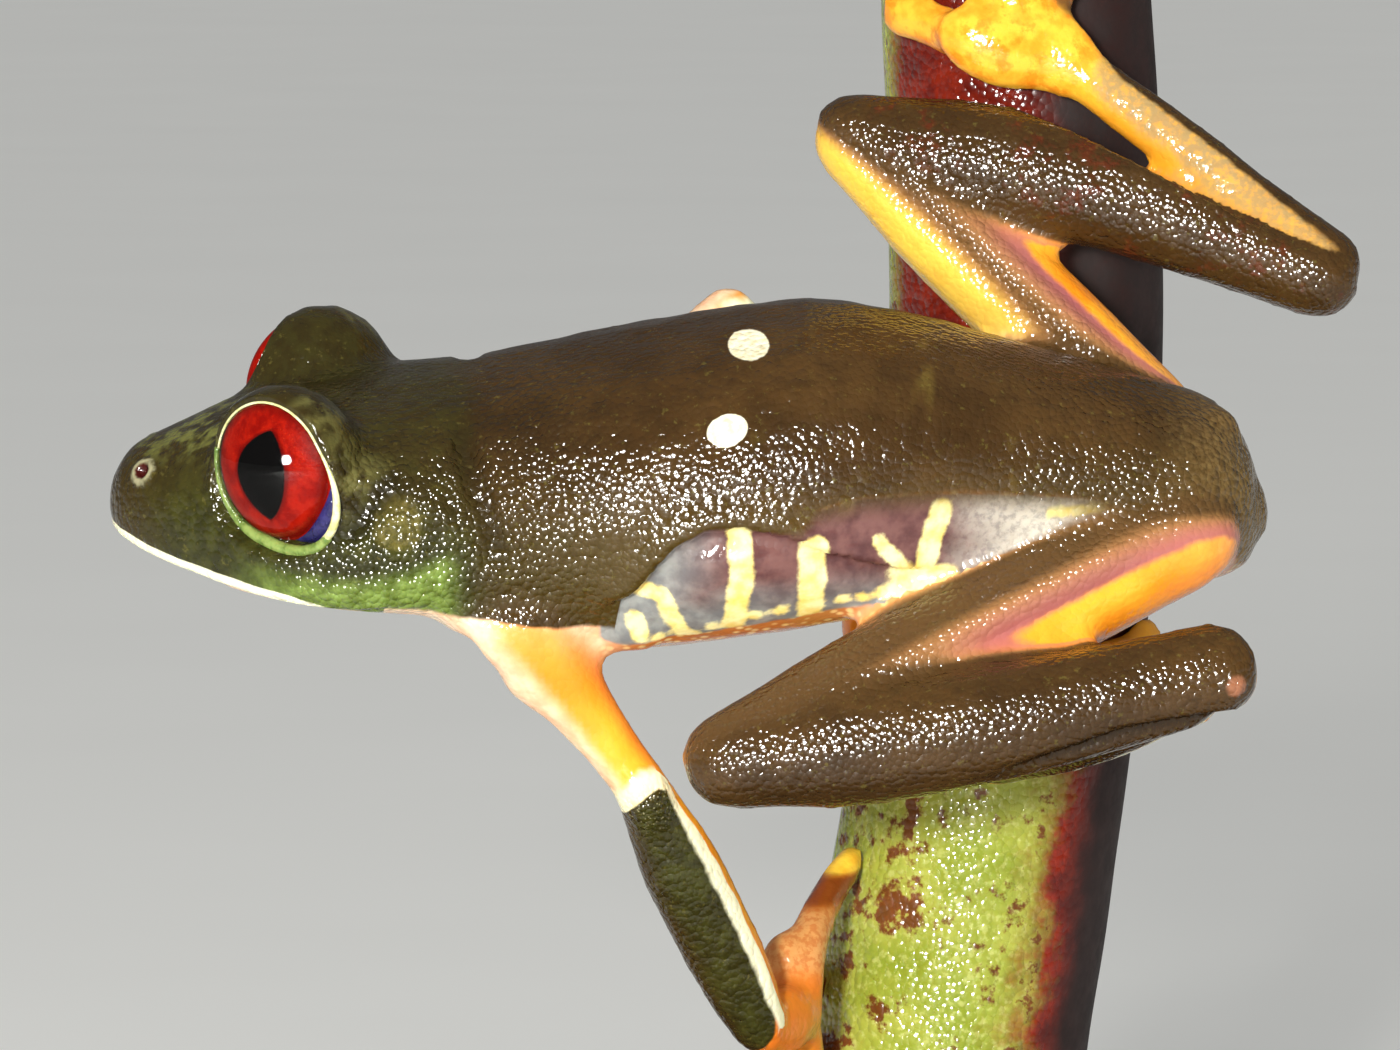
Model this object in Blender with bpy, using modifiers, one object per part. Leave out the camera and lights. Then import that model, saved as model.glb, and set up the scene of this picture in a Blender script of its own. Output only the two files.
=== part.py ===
"""Red-eyed tree frog at life size, gripping a cut length of plant stem on a plain display stand.

The frog faces -X with its left side towards -Y, and +Z is up. The origin is the middle of the
stand's underside. Sizes are named in millimetres and become metres when a mesh is made.

The head and trunk are one loft of sections along a straight axis. They are given in the body's
own measures: how far behind the snout, how far to the left, and how far towards the back.
Limbs are tapering lofts along bent spines, parted at each joint by a thin plane. Hands and feet
are a palm and digits fused together and pressed against the stem.
"""

import math

import bmesh
import bpy
from mathutils import Vector

MM = 0.001
GAP = 0.3                                  # clear space between neighbouring pieces
MERGE = 0.002                              # points closer than this are one point

# ---- body axis -------------------------------------------------------------
AXIS_START = Vector((-37.9, -7.8, 51.1))   # level with the tip of the snout
BODY_LENGTH = 55.4
NECK = 17.6                                # where head and trunk are parted
HEAD_ROLL, TRUNK_ROLL, HIP_ROLL = 14.0, 20.0, 23.0   # degrees, back leaning towards -Y
HEAD_YAW = 5.0                             # degrees, snout turned towards +Y
TURN_START = 12.0                          # the neck turns between here and NECK
BODY_SIDES = 24

# Distance behind the snout: half width, top, underside, height of the widest line.
GIRTH = {
    0.0: (1.2, 0.0, -2.0, -1.3),
    0.5: (2.2, 1.0, -2.4, -1.6),
    1.3: (3.0, 1.8, -2.8, -1.8),
    2.6: (4.1, 2.3, -3.2, -2.1),
    4.8: (5.5, 3.3, -3.7, -2.4),
    6.8: (6.8, 4.0, -4.2, -2.7),
    9.4: (8.2, 4.5, -4.4, -2.6),
    13.0: (9.0, 4.9, -4.8, -2.1),
    17.0: (8.5, 5.3, -5.3, -1.4),
    20.5: (8.3, 6.0, -6.8, -0.8),
    24.5: (8.6, 6.9, -7.4, -0.4),
    29.0: (8.9, 7.7, -6.9, 0.0),
    33.5: (8.6, 8.4, -6.2, 0.5),
    37.5: (7.7, 8.0, -5.7, 0.7),
    42.0: (6.5, 6.9, -5.5, 0.6),
    46.0: (5.8, 5.8, -5.3, 0.3),
    49.5: (5.3, 4.7, -5.0, 0.0),
    52.5: (4.7, 3.8, -4.6, -0.3),
    54.4: (3.3, 1.8, -4.0, -0.9),
    55.4: (1.0, -0.6, -2.7, -1.6),
}

# ---- eyes ------------------------------------------------------------------
EYE_BEHIND_SNOUT, EYE_ASIDE, EYE_UP = 9.3, 5.65, 2.85
EYE_RADIUS, EYE_DEPTH = 3.5, 2.8           # across the gaze, and along it
EYE_CLEARANCE, LID_THICKNESS = 0.15, 0.35
LID_OPENING = 3.3                          # radius of the round opening between the lids
EYE_SIDES = 16
EYE_FORWARD, EYE_TILT = 33.0, 4.0          # degrees the gaze turns ahead of sideways, and up

# ---- perch and stand -------------------------------------------------------
STEM_LINE = [Vector(p) for p in (
    (1.2, 9.0, 11.0), (2.7, 9.0, 20.7), (4.5, 9.0, 32.7), (5.6, 9.0, 40.9), (6.3, 9.0, 48.5),
    (6.7, 9.0, 58.0), (6.5, 9.0, 65.7), (6.1, 9.0, 73.4), (5.5, 9.0, 86.0))]
STEM_RADIUS_LOW, STEM_RADIUS_HIGH = 7.1, 6.4
STEM_BOTTOM, STEM_TOP = 13.0, 84.0
STEM_SIDES, STEM_STEPS = 22, 10
BASE_RADIUS, BASE_HEIGHT, BASE_ROUNDING = 34.0, 6.0, 1.2
ROD_RADIUS, COLLAR_RADIUS, COLLAR_HEIGHT = 2.2, 4.6, 1.6

FLESH_OLIVE = (0.06, 0.045, 0.02)
FLESH_ORANGE = (0.75, 0.30, 0.05)


# ---- small helpers ---------------------------------------------------------
def hermite(table, at):
    """Smooth value between the stations of a table, with no overshoot at a turning point."""
    keys = sorted(table)
    at = min(max(at, keys[0]), keys[-1])
    i = max(k for k in range(len(keys) - 1) if keys[k] <= at)
    span = keys[i + 1] - keys[i]
    t = (at - keys[i]) / span

    def slope(k, part):
        if k in (0, len(keys) - 1):
            return 0.0
        before = (table[keys[k]][part] - table[keys[k - 1]][part]) / (keys[k] - keys[k - 1])
        after = (table[keys[k + 1]][part] - table[keys[k]][part]) / (keys[k + 1] - keys[k])
        return 0.0 if before * after <= 0.0 else 2.0 * before * after / (before + after)

    parts = range(len(table[keys[0]]))
    return [(2 * t**3 - 3 * t**2 + 1) * table[keys[i]][p] + (t**3 - 2 * t**2 + t) * span * slope(i, p)
            + (3 * t**2 - 2 * t**3) * table[keys[i + 1]][p] + (t**3 - t**2) * span * slope(i + 1, p)
            for p in parts]


def along(points, t):
    """Point on the smooth curve through points, t from 0 to 1."""
    place = min(max(t, 0.0), 1.0) * (len(points) - 1)
    i = min(int(place), len(points) - 2)
    f = place - i
    a, b = points[i], points[i + 1]
    before = points[i - 1] if i else a + (a - b)
    after = points[i + 2] if i + 2 < len(points) else b + (b - a)
    return 0.5 * (2 * a + (b - before) * f + (2 * before - 5 * a + 4 * b - after) * f**2
                  + (3 * a - before - 3 * b + after) * f**3)


def material(name, colour, roughness, metallic=0.0):
    made = bpy.data.materials.new(name)
    made.use_nodes = True
    shader = made.node_tree.nodes["Principled BSDF"]
    shader.inputs["Base Color"].default_value = (*colour, 1.0)
    shader.inputs["Roughness"].default_value = roughness
    shader.inputs["Metallic"].default_value = metallic
    return made


def add_object(name, bm, where, colour=FLESH_OLIVE, roughness=0.4, metallic=0.0, scale=MM):
    """Turn a bmesh into a named object, from millimetres to metres, and free the bmesh."""
    bmesh.ops.scale(bm, vec=(scale,) * 3, verts=bm.verts)
    bmesh.ops.recalc_face_normals(bm, faces=bm.faces)
    mesh = bpy.data.meshes.new(name)
    bm.to_mesh(mesh)
    bm.free()
    mesh.shade_smooth()
    mesh.set_sharp_from_angle(angle=math.radians(50))
    mesh.materials.append(material(name, colour, roughness, metallic))
    made = bpy.data.objects.new(name, mesh)
    where.objects.link(made)
    return made


def loft(rings, first_pole=None, last_pole=None):
    """Skin over rings of equal count. An end is a fan to its pole, or one flat face."""
    bm = bmesh.new()
    rows = [[bm.verts.new(p) for p in ring] for ring in rings]
    count = len(rings[0])
    for low, high in zip(rows, rows[1:]):
        for k in range(count):
            n = (k + 1) % count
            bm.faces.new((low[k], low[n], high[n], high[k]))
    for row, pole in ((rows[0], first_pole), (rows[-1], last_pole)):
        if pole is None:
            bm.faces.new(row)
        else:
            tip = bm.verts.new(pole)
            for k in range(count):
                bm.faces.new((row[k], row[(k + 1) % count], tip))
    bmesh.ops.recalc_face_normals(bm, faces=bm.faces)
    bmesh.ops.triangulate(bm, faces=bm.faces)
    return bm


def cut_away(bm, point, normal):
    """Remove what lies beyond a plane, on the side its normal points to, and close the cut."""
    normal = normal.normalized()
    whole = list(bm.verts) + list(bm.edges) + list(bm.faces)
    bmesh.ops.bisect_plane(bm, geom=whole, plane_co=point, plane_no=normal, clear_outer=True)
    rim = [e for e in bm.edges if e.is_boundary]
    bmesh.ops.holes_fill(bm, edges=rim, sides=0)
    bmesh.ops.dissolve_degenerate(bm, dist=1e-4, edges=bm.edges)


def boolean(target, cutter, operation="DIFFERENCE"):
    step = target.modifiers.new(operation.lower(), "BOOLEAN")
    step.object = cutter
    step.operation = operation
    step.solver = "EXACT"
    return step


def apply_modifiers(target):
    """Replace an object's mesh by what its modifiers make of it."""
    graph = bpy.context.evaluated_depsgraph_get()
    done = bpy.data.meshes.new_from_object(target.evaluated_get(graph))
    old = target.data
    target.modifiers.clear()
    target.data = done
    done.name = target.name
    bpy.data.meshes.remove(old)
    bm = bmesh.new()
    bm.from_mesh(done)
    bmesh.ops.remove_doubles(bm, verts=bm.verts, dist=MERGE * MM)
    bm.to_mesh(done)
    bm.free()


def inflated(source, name, cutters, by):
    """A slightly fatter copy of a piece, to cut its neighbours clear of it."""
    bm = bmesh.new()
    bm.from_mesh(source.data)
    bm.normal_update()
    for vert in bm.verts:
        vert.co += vert.normal * by * MM
    return add_cutter(name, bm, cutters, 1.0)


def add_cutter(name, bm, cutters, scale=MM):
    made = add_object(name, bm, cutters, scale=scale)
    made.hide_render = True
    made.display_type = "WIRE"
    return made


# ---- head and trunk --------------------------------------------------------
def body_frame(behind):
    """Centre of the body's axis, and the directions to its left and towards its back."""
    if behind < NECK:
        roll = HEAD_ROLL + (TRUNK_ROLL - HEAD_ROLL) * (behind / NECK) ** 3
    else:
        roll = TRUNK_ROLL + (HIP_ROLL - TRUNK_ROLL) * (behind - NECK) / (BODY_LENGTH - NECK)
    roll = math.radians(roll)
    bend = min(max((NECK - behind) / (NECK - TURN_START), 0.0), 1.0)
    yaw = math.radians(HEAD_YAW) * bend
    drift = yaw * (bend * (NECK - TURN_START) / 2 + max(TURN_START - behind, 0.0))
    centre = AXIS_START + Vector((behind, drift, 0.0))
    level = Vector((-math.sin(yaw), -math.cos(yaw), 0.0))
    up = Vector((0.0, 0.0, 1.0))
    left = level * math.cos(roll) - up * math.sin(roll)
    back = up * math.cos(roll) + level * math.sin(roll)
    return centre, left, back


def body_point(behind, aside, up):
    centre, left, back = body_frame(behind)
    return centre + left * aside + back * up


def body_ring(behind):
    """One cross-section: flat on top and at the snout, round underneath."""
    half, top, low, widest = hermite(GIRTH, behind)
    headness = math.sin(math.pi * behind / NECK) if behind < NECK else 0.0
    ring = []
    for k in range(BODY_SIDES):
        angle = 2 * math.pi * k / BODY_SIDES
        c, s = math.cos(angle), math.sin(angle)
        squareness = 0.82 + headness * (-0.10 if s > 0 else 0.18)
        aside = half * math.copysign(abs(c) ** squareness, c)
        reach = (top - widest) if s > 0 else (widest - low)
        up = widest + reach * math.copysign(abs(s) ** 0.92, s)
        ring.append(body_point(behind, aside, up))
    return ring


def eye_place(side):
    """Centre of an eye and the direction of its gaze; side is 1 for left, -1 for right."""
    centre = body_point(EYE_BEHIND_SNOUT, side * EYE_ASIDE, EYE_UP)
    _, left, back = body_frame(EYE_BEHIND_SNOUT)
    turn, tilt = math.radians(EYE_FORWARD), math.radians(EYE_TILT)
    ahead = left.cross(back)
    gaze = (left * side * math.cos(turn) + ahead * math.sin(turn)) * math.cos(tilt)
    return centre, (gaze + back * math.sin(tilt)).normalized()


def eye_shape(centre, gaze, extra):
    """An eyeball's flattened ball, or one larger by extra all round."""
    bm = bmesh.new()
    bmesh.ops.create_uvsphere(bm, u_segments=EYE_SIDES, v_segments=10, radius=1.0)
    bmesh.ops.scale(bm, verts=bm.verts,
                    vec=(EYE_RADIUS + extra, EYE_RADIUS + extra, EYE_DEPTH + extra))
    turn = Vector((0, 0, 1)).rotation_difference(gaze).to_matrix()
    bmesh.ops.rotate(bm, cent=(0, 0, 0), matrix=turn, verts=bm.verts)
    bmesh.ops.translate(bm, vec=centre, verts=bm.verts)
    bmesh.ops.triangulate(bm, faces=bm.faces)
    return bm


def make_head(parts, cutters):
    stops = [0.0, 0.25, 0.6, 1.1, 1.8, 2.7, 3.8, 5.0, 6.2, 7.4, 8.6, 9.8, 11.0, 12.3, 13.6, 15.0,
             16.4, NECK - GAP / 2]
    rings = [body_ring(s) for s in stops]
    tip = sum(rings[0], Vector()) / BODY_SIDES - Vector((0.15, 0, 0))
    head = add_object("head", loft(rings, first_pole=tip), parts)
    for side, word in ((1, "left"), (-1, "right")):
        centre, gaze = eye_place(side)
        lids = eye_shape(centre, gaze, EYE_CLEARANCE + LID_THICKNESS)
        boolean(head, add_cutter(f"bulge_{word}", lids, cutters), "UNION")
        hollow = eye_shape(centre, gaze, EYE_CLEARANCE)
        boolean(head, add_cutter(f"socket_{word}", hollow, cutters))
        bore = bmesh.new()
        bmesh.ops.create_cone(bore, cap_ends=True, segments=EYE_SIDES, radius1=LID_OPENING,
                              radius2=LID_OPENING + 0.5, depth=4.0)
        bmesh.ops.rotate(bore, cent=(0, 0, 0), verts=bore.verts,
                         matrix=Vector((0, 0, 1)).rotation_difference(gaze).to_matrix())
        bmesh.ops.translate(bore, vec=centre + gaze * 2.9, verts=bore.verts)
        boolean(head, add_cutter(f"opening_{word}", bore, cutters))
        add_object(f"eye_{word}", eye_shape(centre, gaze, 0.0), parts, (0.45, 0.01, 0.01), 0.1)
    apply_modifiers(head)


def make_trunk(parts):
    steps = 22
    start = NECK + GAP / 2
    rings = [body_ring(start + (BODY_LENGTH - start) * math.sin(0.5 * math.pi * k / steps))
             for k in range(steps + 1)]
    tip = sum(rings[-1], Vector()) / BODY_SIDES + Vector((0.25, 0, 0))
    return add_object("trunk", loft(rings, last_pole=tip), parts)


# ---- limbs -----------------------------------------------------------------
def limb_mesh(spine, girths, flat, sides=12, pitch=2.4):
    """Loft along a spine. girths: place 0..1 -> (half width, half depth); depth lies along flat."""
    length = sum((b - a).length for a, b in zip(spine, spine[1:]))
    steps = max(4, round(length / pitch))
    dome = (80, 55, 30)
    start, end = hermite(girths, 0.0)[1], hermite(girths, 1.0)[1]
    stops = [(0.0, -start * math.sin(math.radians(a)), math.cos(math.radians(a))) for a in dome]
    stops += [(k / steps, 0.0, 1.0) for k in range(steps + 1)]
    stops += [(1.0, end * math.sin(math.radians(a)), math.cos(math.radians(a)))
              for a in reversed(dome)]
    rings = []
    for place, beyond, shrink in stops:
        tangent = (along(spine, place + 0.02) - along(spine, place - 0.02)).normalized()
        wide = tangent.cross(flat).normalized()
        deep = wide.cross(tangent)
        half_wide, half_deep = (g * shrink for g in hermite(girths, place))
        centre = along(spine, place) + tangent * beyond
        rings.append([centre + wide * half_wide * math.cos(a) + deep * half_deep * math.sin(a)
                      for a in (2 * math.pi * k / sides for k in range(sides))])
    tip_start = along(spine, 0) - (along(spine, 0.02) - along(spine, 0)).normalized() * start
    tip_end = along(spine, 1) + (along(spine, 1) - along(spine, 0.98)).normalized() * end
    return loft(rings, tip_start, tip_end)


def joint_plane(before, joint, after):
    """Normal of the plane through a joint that keeps the next segment on its positive side."""
    return ((after - joint).normalized() - (before - joint).normalized()).normalized()


def make_limb(name, spine, girths, flat, parts, planes=(), colour=FLESH_OLIVE):
    """planes: (point, normal) pairs; what lies past each one is cut off, half a gap clear."""
    bm = limb_mesh(spine, girths, flat)
    for point, normal in planes:
        cut_away(bm, point - normal * GAP / 2, normal)
    return add_object(name, bm, parts, colour)


# Joints of each limb, near to far: root inside the trunk, then each bend, then the last joint.
HIND = {
    "left": dict(root=(13.4, -10.9, 48.9), knee=(-8.2, -16.6, 38.8), heel=(14.9, -15.9, 42.9),
                 ankle=(4.6, -3.6, 37.0), ball=(3.6, 1.3, 38.2), shin_bow=(0.0, -0.5, -0.5),
                 tarsus_bow=(0.0, 0.0, -0.8), fullness=1.0),
    "right": dict(root=(12.2, -3.6, 53.4), knee=(-2.0, 0.3, 66.9), heel=(20.5, -3.0, 60.9),
                  ankle=(9.3, 1.0, 70.0), ball=(6.2, 1.4, 72.2), shin_bow=(0.0, 0.0, 0.9),
                  tarsus_bow=(0.0, 0.0, 0.4), fullness=0.9),
}
FORE = {
    "left": dict(root=(-18.3, -12.8, 44.9), elbow=(-12.5, -11.7, 37.0), wrist=(-6.6, -5.9, 24.2),
                 ball=(-4.7, -1.9, 24.3)),
    "right": dict(root=(-15.4, -3.0, 52.2), elbow=(-8.2, 2.7, 58.3), wrist=(-2.9, 7.2, 49.0),
                  ball=(-2.3, 8.2, 46.2)),
}
SIDEWAYS = Vector((0, -1, 0))


def vectors(joints):
    return {name: Vector(place) for name, place in joints.items() if name != "fullness"}


def scaled(girths, factor):
    return {place: (wide * factor, deep * factor) for place, (wide, deep) in girths.items()}


def make_hind_leg(word, parts, trunk_cutter):
    """Thigh, shank and tarsus, folded in a Z."""
    j = vectors(HIND[word])
    knee_plane = joint_plane(j["root"], j["knee"], j["heel"])
    heel_plane = joint_plane(j["knee"], j["heel"], j["ankle"])
    ankle_plane = joint_plane(j["heel"], j["ankle"], j["ball"])
    thigh_girth = scaled({0.0: (2.8, 2.8), 0.35: (3.0, 2.7), 0.7: (2.9, 2.5), 1.0: (2.3, 2.3)},
                         HIND[word]["fullness"])
    shank_girth = {0.0: (2.4, 2.3), 0.25: (3.0, 2.6), 0.6: (2.75, 2.5), 1.0: (2.4, 2.1)}
    tarsus_girth = {0.0: (2.1, 1.8), 0.3: (1.5, 1.3), 1.0: (1.3, 1.1)}
    shin = (j["knee"] + j["heel"]) / 2 + j["shin_bow"]
    instep = (j["heel"] + j["ankle"]) / 2 + j["tarsus_bow"]
    thigh = make_limb(f"thigh_{word}", [j["root"], (j["root"] + j["knee"]) / 2, j["knee"]],
                      thigh_girth, SIDEWAYS, parts, [(j["knee"], knee_plane)])
    boolean(thigh, trunk_cutter)
    apply_modifiers(thigh)
    make_limb(f"shank_{word}", [j["knee"], shin, j["heel"]], shank_girth, SIDEWAYS,
              parts, [(j["knee"], -knee_plane), (j["heel"], heel_plane)])
    make_limb(f"tarsus_{word}", [j["heel"], instep, j["ankle"]], tarsus_girth,
              SIDEWAYS, parts, [(j["heel"], -heel_plane), (j["ankle"], ankle_plane)])


def make_arm(word, parts, trunk_cutter):
    """Upper arm and forearm."""
    j = vectors(FORE[word])
    elbow_plane = joint_plane(j["root"], j["elbow"], j["wrist"])
    wrist_plane = joint_plane(j["elbow"], j["wrist"], j["ball"])
    neck_plane = (Vector((AXIS_START.x + NECK, 0, 0)), Vector((-1, 0, 0)))
    upper_girth = {0.0: (3.2, 2.2), 0.4: (1.9, 1.6), 0.75: (1.35, 1.35), 1.0: (1.35, 1.3)}
    fore_girth = {0.0: (1.35, 1.3), 0.35: (2.0, 1.6), 0.75: (1.9, 1.5), 1.0: (1.4, 1.2)}
    upper = make_limb(f"upper_arm_{word}", [j["root"], (j["root"] + j["elbow"]) / 2, j["elbow"]],
                      upper_girth, SIDEWAYS, parts, [(j["elbow"], elbow_plane), neck_plane],
                      FLESH_ORANGE)
    boolean(upper, trunk_cutter)
    apply_modifiers(upper)
    make_limb(f"forearm_{word}", [j["elbow"], (j["elbow"] + j["wrist"]) / 2, j["wrist"]],
              fore_girth, SIDEWAYS, parts, [(j["elbow"], -elbow_plane), (j["wrist"], wrist_plane)])


# ---- stem, hands and feet --------------------------------------------------
def stem_at(height):
    """Middle and radius of the stem at a height."""
    heights = {p.z: (p.x, p.y) for p in STEM_LINE}
    x, y = hermite(heights, height)
    rise = (height - STEM_LINE[0].z) / (STEM_LINE[-1].z - STEM_LINE[0].z)
    return Vector((x, y, height)), STEM_RADIUS_LOW + (STEM_RADIUS_HIGH - STEM_RADIUS_LOW) * rise


def on_stem(height, degrees, lift):
    """Point on the stem: 0 degrees faces -Y, 90 faces -X, and lift is how far off its skin."""
    middle, radius = stem_at(height)
    a = math.radians(degrees)
    return middle + Vector((-math.sin(a), -math.cos(a), 0)) * (radius + lift)


def make_stem(parts):
    rings = []
    for k in range(STEM_STEPS + 1):
        height = STEM_BOTTOM + (STEM_TOP - STEM_BOTTOM) * k / STEM_STEPS
        rings.append([on_stem(height, 360 * s / STEM_SIDES, 0.0) for s in range(STEM_SIDES)])
    return add_object("perch_stem", loft(rings), parts, (0.25, 0.30, 0.06), 0.45)


def press_on_stem(bm):
    """Push every point of a grip out to just clear of the stem."""
    for vert in bm.verts:
        height = min(max(vert.co.z, STEM_BOTTOM), STEM_TOP)
        middle, radius = stem_at(height)
        out = Vector((vert.co.x - middle.x, vert.co.y - middle.y, 0))
        if out.length < radius + GAP:
            moved = middle + out.normalized() * (radius + GAP)
            vert.co.x, vert.co.y = moved.x, moved.y


def digit_mesh(points, thickness, pad):
    """A finger or toe: a tapering spine with a broad round pad at its end."""
    girths = {0.0: (thickness, thickness), 0.6: (thickness * 0.85, thickness * 0.8),
              0.82: (thickness * 0.85, thickness * 0.75), 0.95: (pad, thickness * 0.75),
              1.0: (pad * 0.9, thickness * 0.7)}
    middle, _ = stem_at(points[-1].z)
    outward = Vector((points[-1].x - middle.x, points[-1].y - middle.y, 0)).normalized()
    return limb_mesh(points, girths, outward, sides=10, pitch=0.8)


def make_grip(name, before, start, ball, palm_girth, digits, parts, colour=FLESH_ORANGE):
    """Palm and digits fused into one body. digits: (points, thickness, pad)."""
    meshes = [limb_mesh([start, (start + ball) / 2, ball], palm_girth, SIDEWAYS, sides=12,
                        pitch=0.8)]
    meshes += [digit_mesh([ball] + points, thickness, pad) for points, thickness, pad in digits]
    whole = bmesh.new()
    for bm in meshes:
        bmesh.ops.recalc_face_normals(bm, faces=bm.faces)
        piece = bpy.data.meshes.new("digit")
        bm.to_mesh(piece)
        bm.free()
        whole.from_mesh(piece)
        bpy.data.meshes.remove(piece)
    grip = add_object(name, whole, parts, colour)
    fuse = grip.modifiers.new("fuse", "REMESH")
    fuse.mode = "VOXEL"
    fuse.voxel_size = 0.28 * MM
    even = grip.modifiers.new("even", "SMOOTH")
    even.factor, even.iterations = 0.5, 2
    thin = grip.modifiers.new("thin", "DECIMATE")
    thin.ratio = 0.042
    apply_modifiers(grip)
    bm = bmesh.new()
    bm.from_mesh(grip.data)
    bmesh.ops.scale(bm, vec=(1 / MM,) * 3, verts=bm.verts)
    press_on_stem(bm)
    plane = joint_plane(before, start, ball)
    cut_away(bm, start + plane * GAP / 2, -plane)
    bmesh.ops.scale(bm, vec=(MM,) * 3, verts=bm.verts)
    bmesh.ops.recalc_face_normals(bm, faces=bm.faces)
    bm.to_mesh(grip.data)
    bm.free()


def turned_digit(heights, angles, lift):
    """Points that wrap round the stem from one height and angle to another."""
    return [on_stem(h, a, lift) for h, a in zip(heights, angles)]


def make_feet(parts):
    toe, pad = 1.05, 1.6
    palm = {0.0: (1.4, 1.1), 0.5: (2.1, 1.1), 1.0: (2.3, 1.0)}
    toes = {
        "right": [
            (turned_digit((71.6, 72.4, 73.2), (16, 33, 52), 0.9), 1.35, pad),
            (turned_digit((75.4, 77.6, 78.6), (18, 46, 80), 0.7), toe, pad),
            (turned_digit((77.0, 80.0, 81.4), (8, 16, 34), 0.7), toe, pad),
            (turned_digit((76.8, 79.8, 80.6), (-12, -28, -52), 0.7), toe, pad),
            (turned_digit((75.4, 76.6, 76.6), (-24, -52, -80), 0.7), toe, pad)],
        "left": [
            (turned_digit((39.6, 40.4, 40.8), (34, 54, 74), 0.7), toe, pad * 0.85),
            (turned_digit((38.2, 38.4, 38.5), (42, 80, 118), 0.7), toe, pad),
            (turned_digit((36.8, 35.9, 35.3), (40, 80, 125), 0.7), toe, pad),
            (turned_digit((38.4, 38.6, 38.7), (-16, -52, -88), 0.7), toe, pad),
            (turned_digit((40.0, 41.2, 41.6), (-10, -38, -70), 0.7), toe, pad)],
    }
    for word, digits in toes.items():
        j = vectors(HIND[word])
        make_grip(f"foot_{word}", j["heel"], j["ankle"], j["ball"], palm, digits, parts)


def make_hands(parts):
    finger, pad = 1.0, 1.5
    palm = {0.0: (1.4, 1.2), 0.6: (1.8, 1.3), 1.0: (1.5, 1.2)}
    fingers = {
        "left": [
            ([Vector((-4.4, -1.0, 27.2)), Vector((-3.5, 1.7, 29.2)), on_stem(30.8, 57, 0.7)],
             1.15, 1.25),
            ([Vector((-4.2, 0.6, 21.4)), on_stem(19.0, 42, 0.8), on_stem(17.8, 12, 0.7)],
             finger, pad),
            ([Vector((-4.9, 2.4, 22.0)), on_stem(20.4, 84, 0.8), on_stem(19.6, 124, 0.7)],
             finger, pad),
            ([Vector((-4.9, 3.4, 24.4)), on_stem(24.4, 92, 0.8), on_stem(25.2, 130, 0.7)],
             finger, pad)],
        "right": [
            (turned_digit((45.6, 45.2, 44.8), (66, 54, 42), 0.8), 0.95, 1.15),
            (turned_digit((44.0, 42.4, 41.4), (84, 92, 104), 0.8), finger, pad),
            (turned_digit((44.6, 43.8, 43.2), (104, 130, 156), 0.8), finger, pad),
            (turned_digit((46.2, 46.6, 46.9), (108, 132, 156), 0.8), finger, pad)],
    }
    for word, digits in fingers.items():
        j = vectors(FORE[word])
        make_grip(f"hand_{word}", j["elbow"], j["wrist"], j["ball"], palm, digits, parts)


def make_stand(parts):
    """A turned disc, and a short rod whose collar carries the stem's cut end."""
    for name, height, outline in (
            ("stand_base", 0.0, [(0, BASE_HEIGHT), (BASE_RADIUS - BASE_ROUNDING, BASE_HEIGHT),
                                 (BASE_RADIUS, BASE_HEIGHT - BASE_ROUNDING),
                                 (BASE_RADIUS, 0.6), (BASE_RADIUS - 0.6, 0), (0, 0)]),
            ("stand_rod", BASE_HEIGHT + GAP,
             [(0, STEM_BOTTOM - GAP), (COLLAR_RADIUS, STEM_BOTTOM - GAP),
              (COLLAR_RADIUS, STEM_BOTTOM - GAP - COLLAR_HEIGHT),
              (ROD_RADIUS, STEM_BOTTOM - GAP - COLLAR_HEIGHT - 1.2),
              (ROD_RADIUS, BASE_HEIGHT + GAP), (0, BASE_HEIGHT + GAP)])):
        bm = bmesh.new()
        verts = [bm.verts.new((r, 0, z)) for r, z in outline]
        edges = [bm.edges.new(pair) for pair in zip(verts, verts[1:])]
        bmesh.ops.spin(bm, geom=verts + edges, axis=(0, 0, 1), cent=(0, 0, 0), steps=28,
                       angle=2 * math.pi, use_merge=True)
        bmesh.ops.remove_doubles(bm, verts=bm.verts, dist=1e-4)
        if name == "stand_rod":
            middle, _ = stem_at(STEM_BOTTOM)
            bmesh.ops.translate(bm, vec=(middle.x, middle.y, 0), verts=bm.verts)
        add_object(name, bm, parts, (0.03, 0.03, 0.03), 0.35)


def main():
    for old in list(bpy.data.objects):
        bpy.data.objects.remove(old)
    parts = bpy.data.collections.new("red_eyed_tree_frog")
    cutters = bpy.data.collections.new("cutters")
    for group in (parts, cutters):
        bpy.context.scene.collection.children.link(group)
    make_head(parts, cutters)
    trunk = make_trunk(parts)
    trunk_cutter = inflated(trunk, "trunk_clearance", cutters, GAP)
    for word in ("left", "right"):
        make_hind_leg(word, parts, trunk_cutter)
        make_arm(word, parts, trunk_cutter)
    make_stem(parts)
    make_hands(parts)
    make_feet(parts)
    make_stand(parts)


main()
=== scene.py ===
import math

import bmesh
import bpy
import numpy as np
from mathutils import Matrix, Vector, noise
from mathutils.bvhtree import BVHTree


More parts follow.
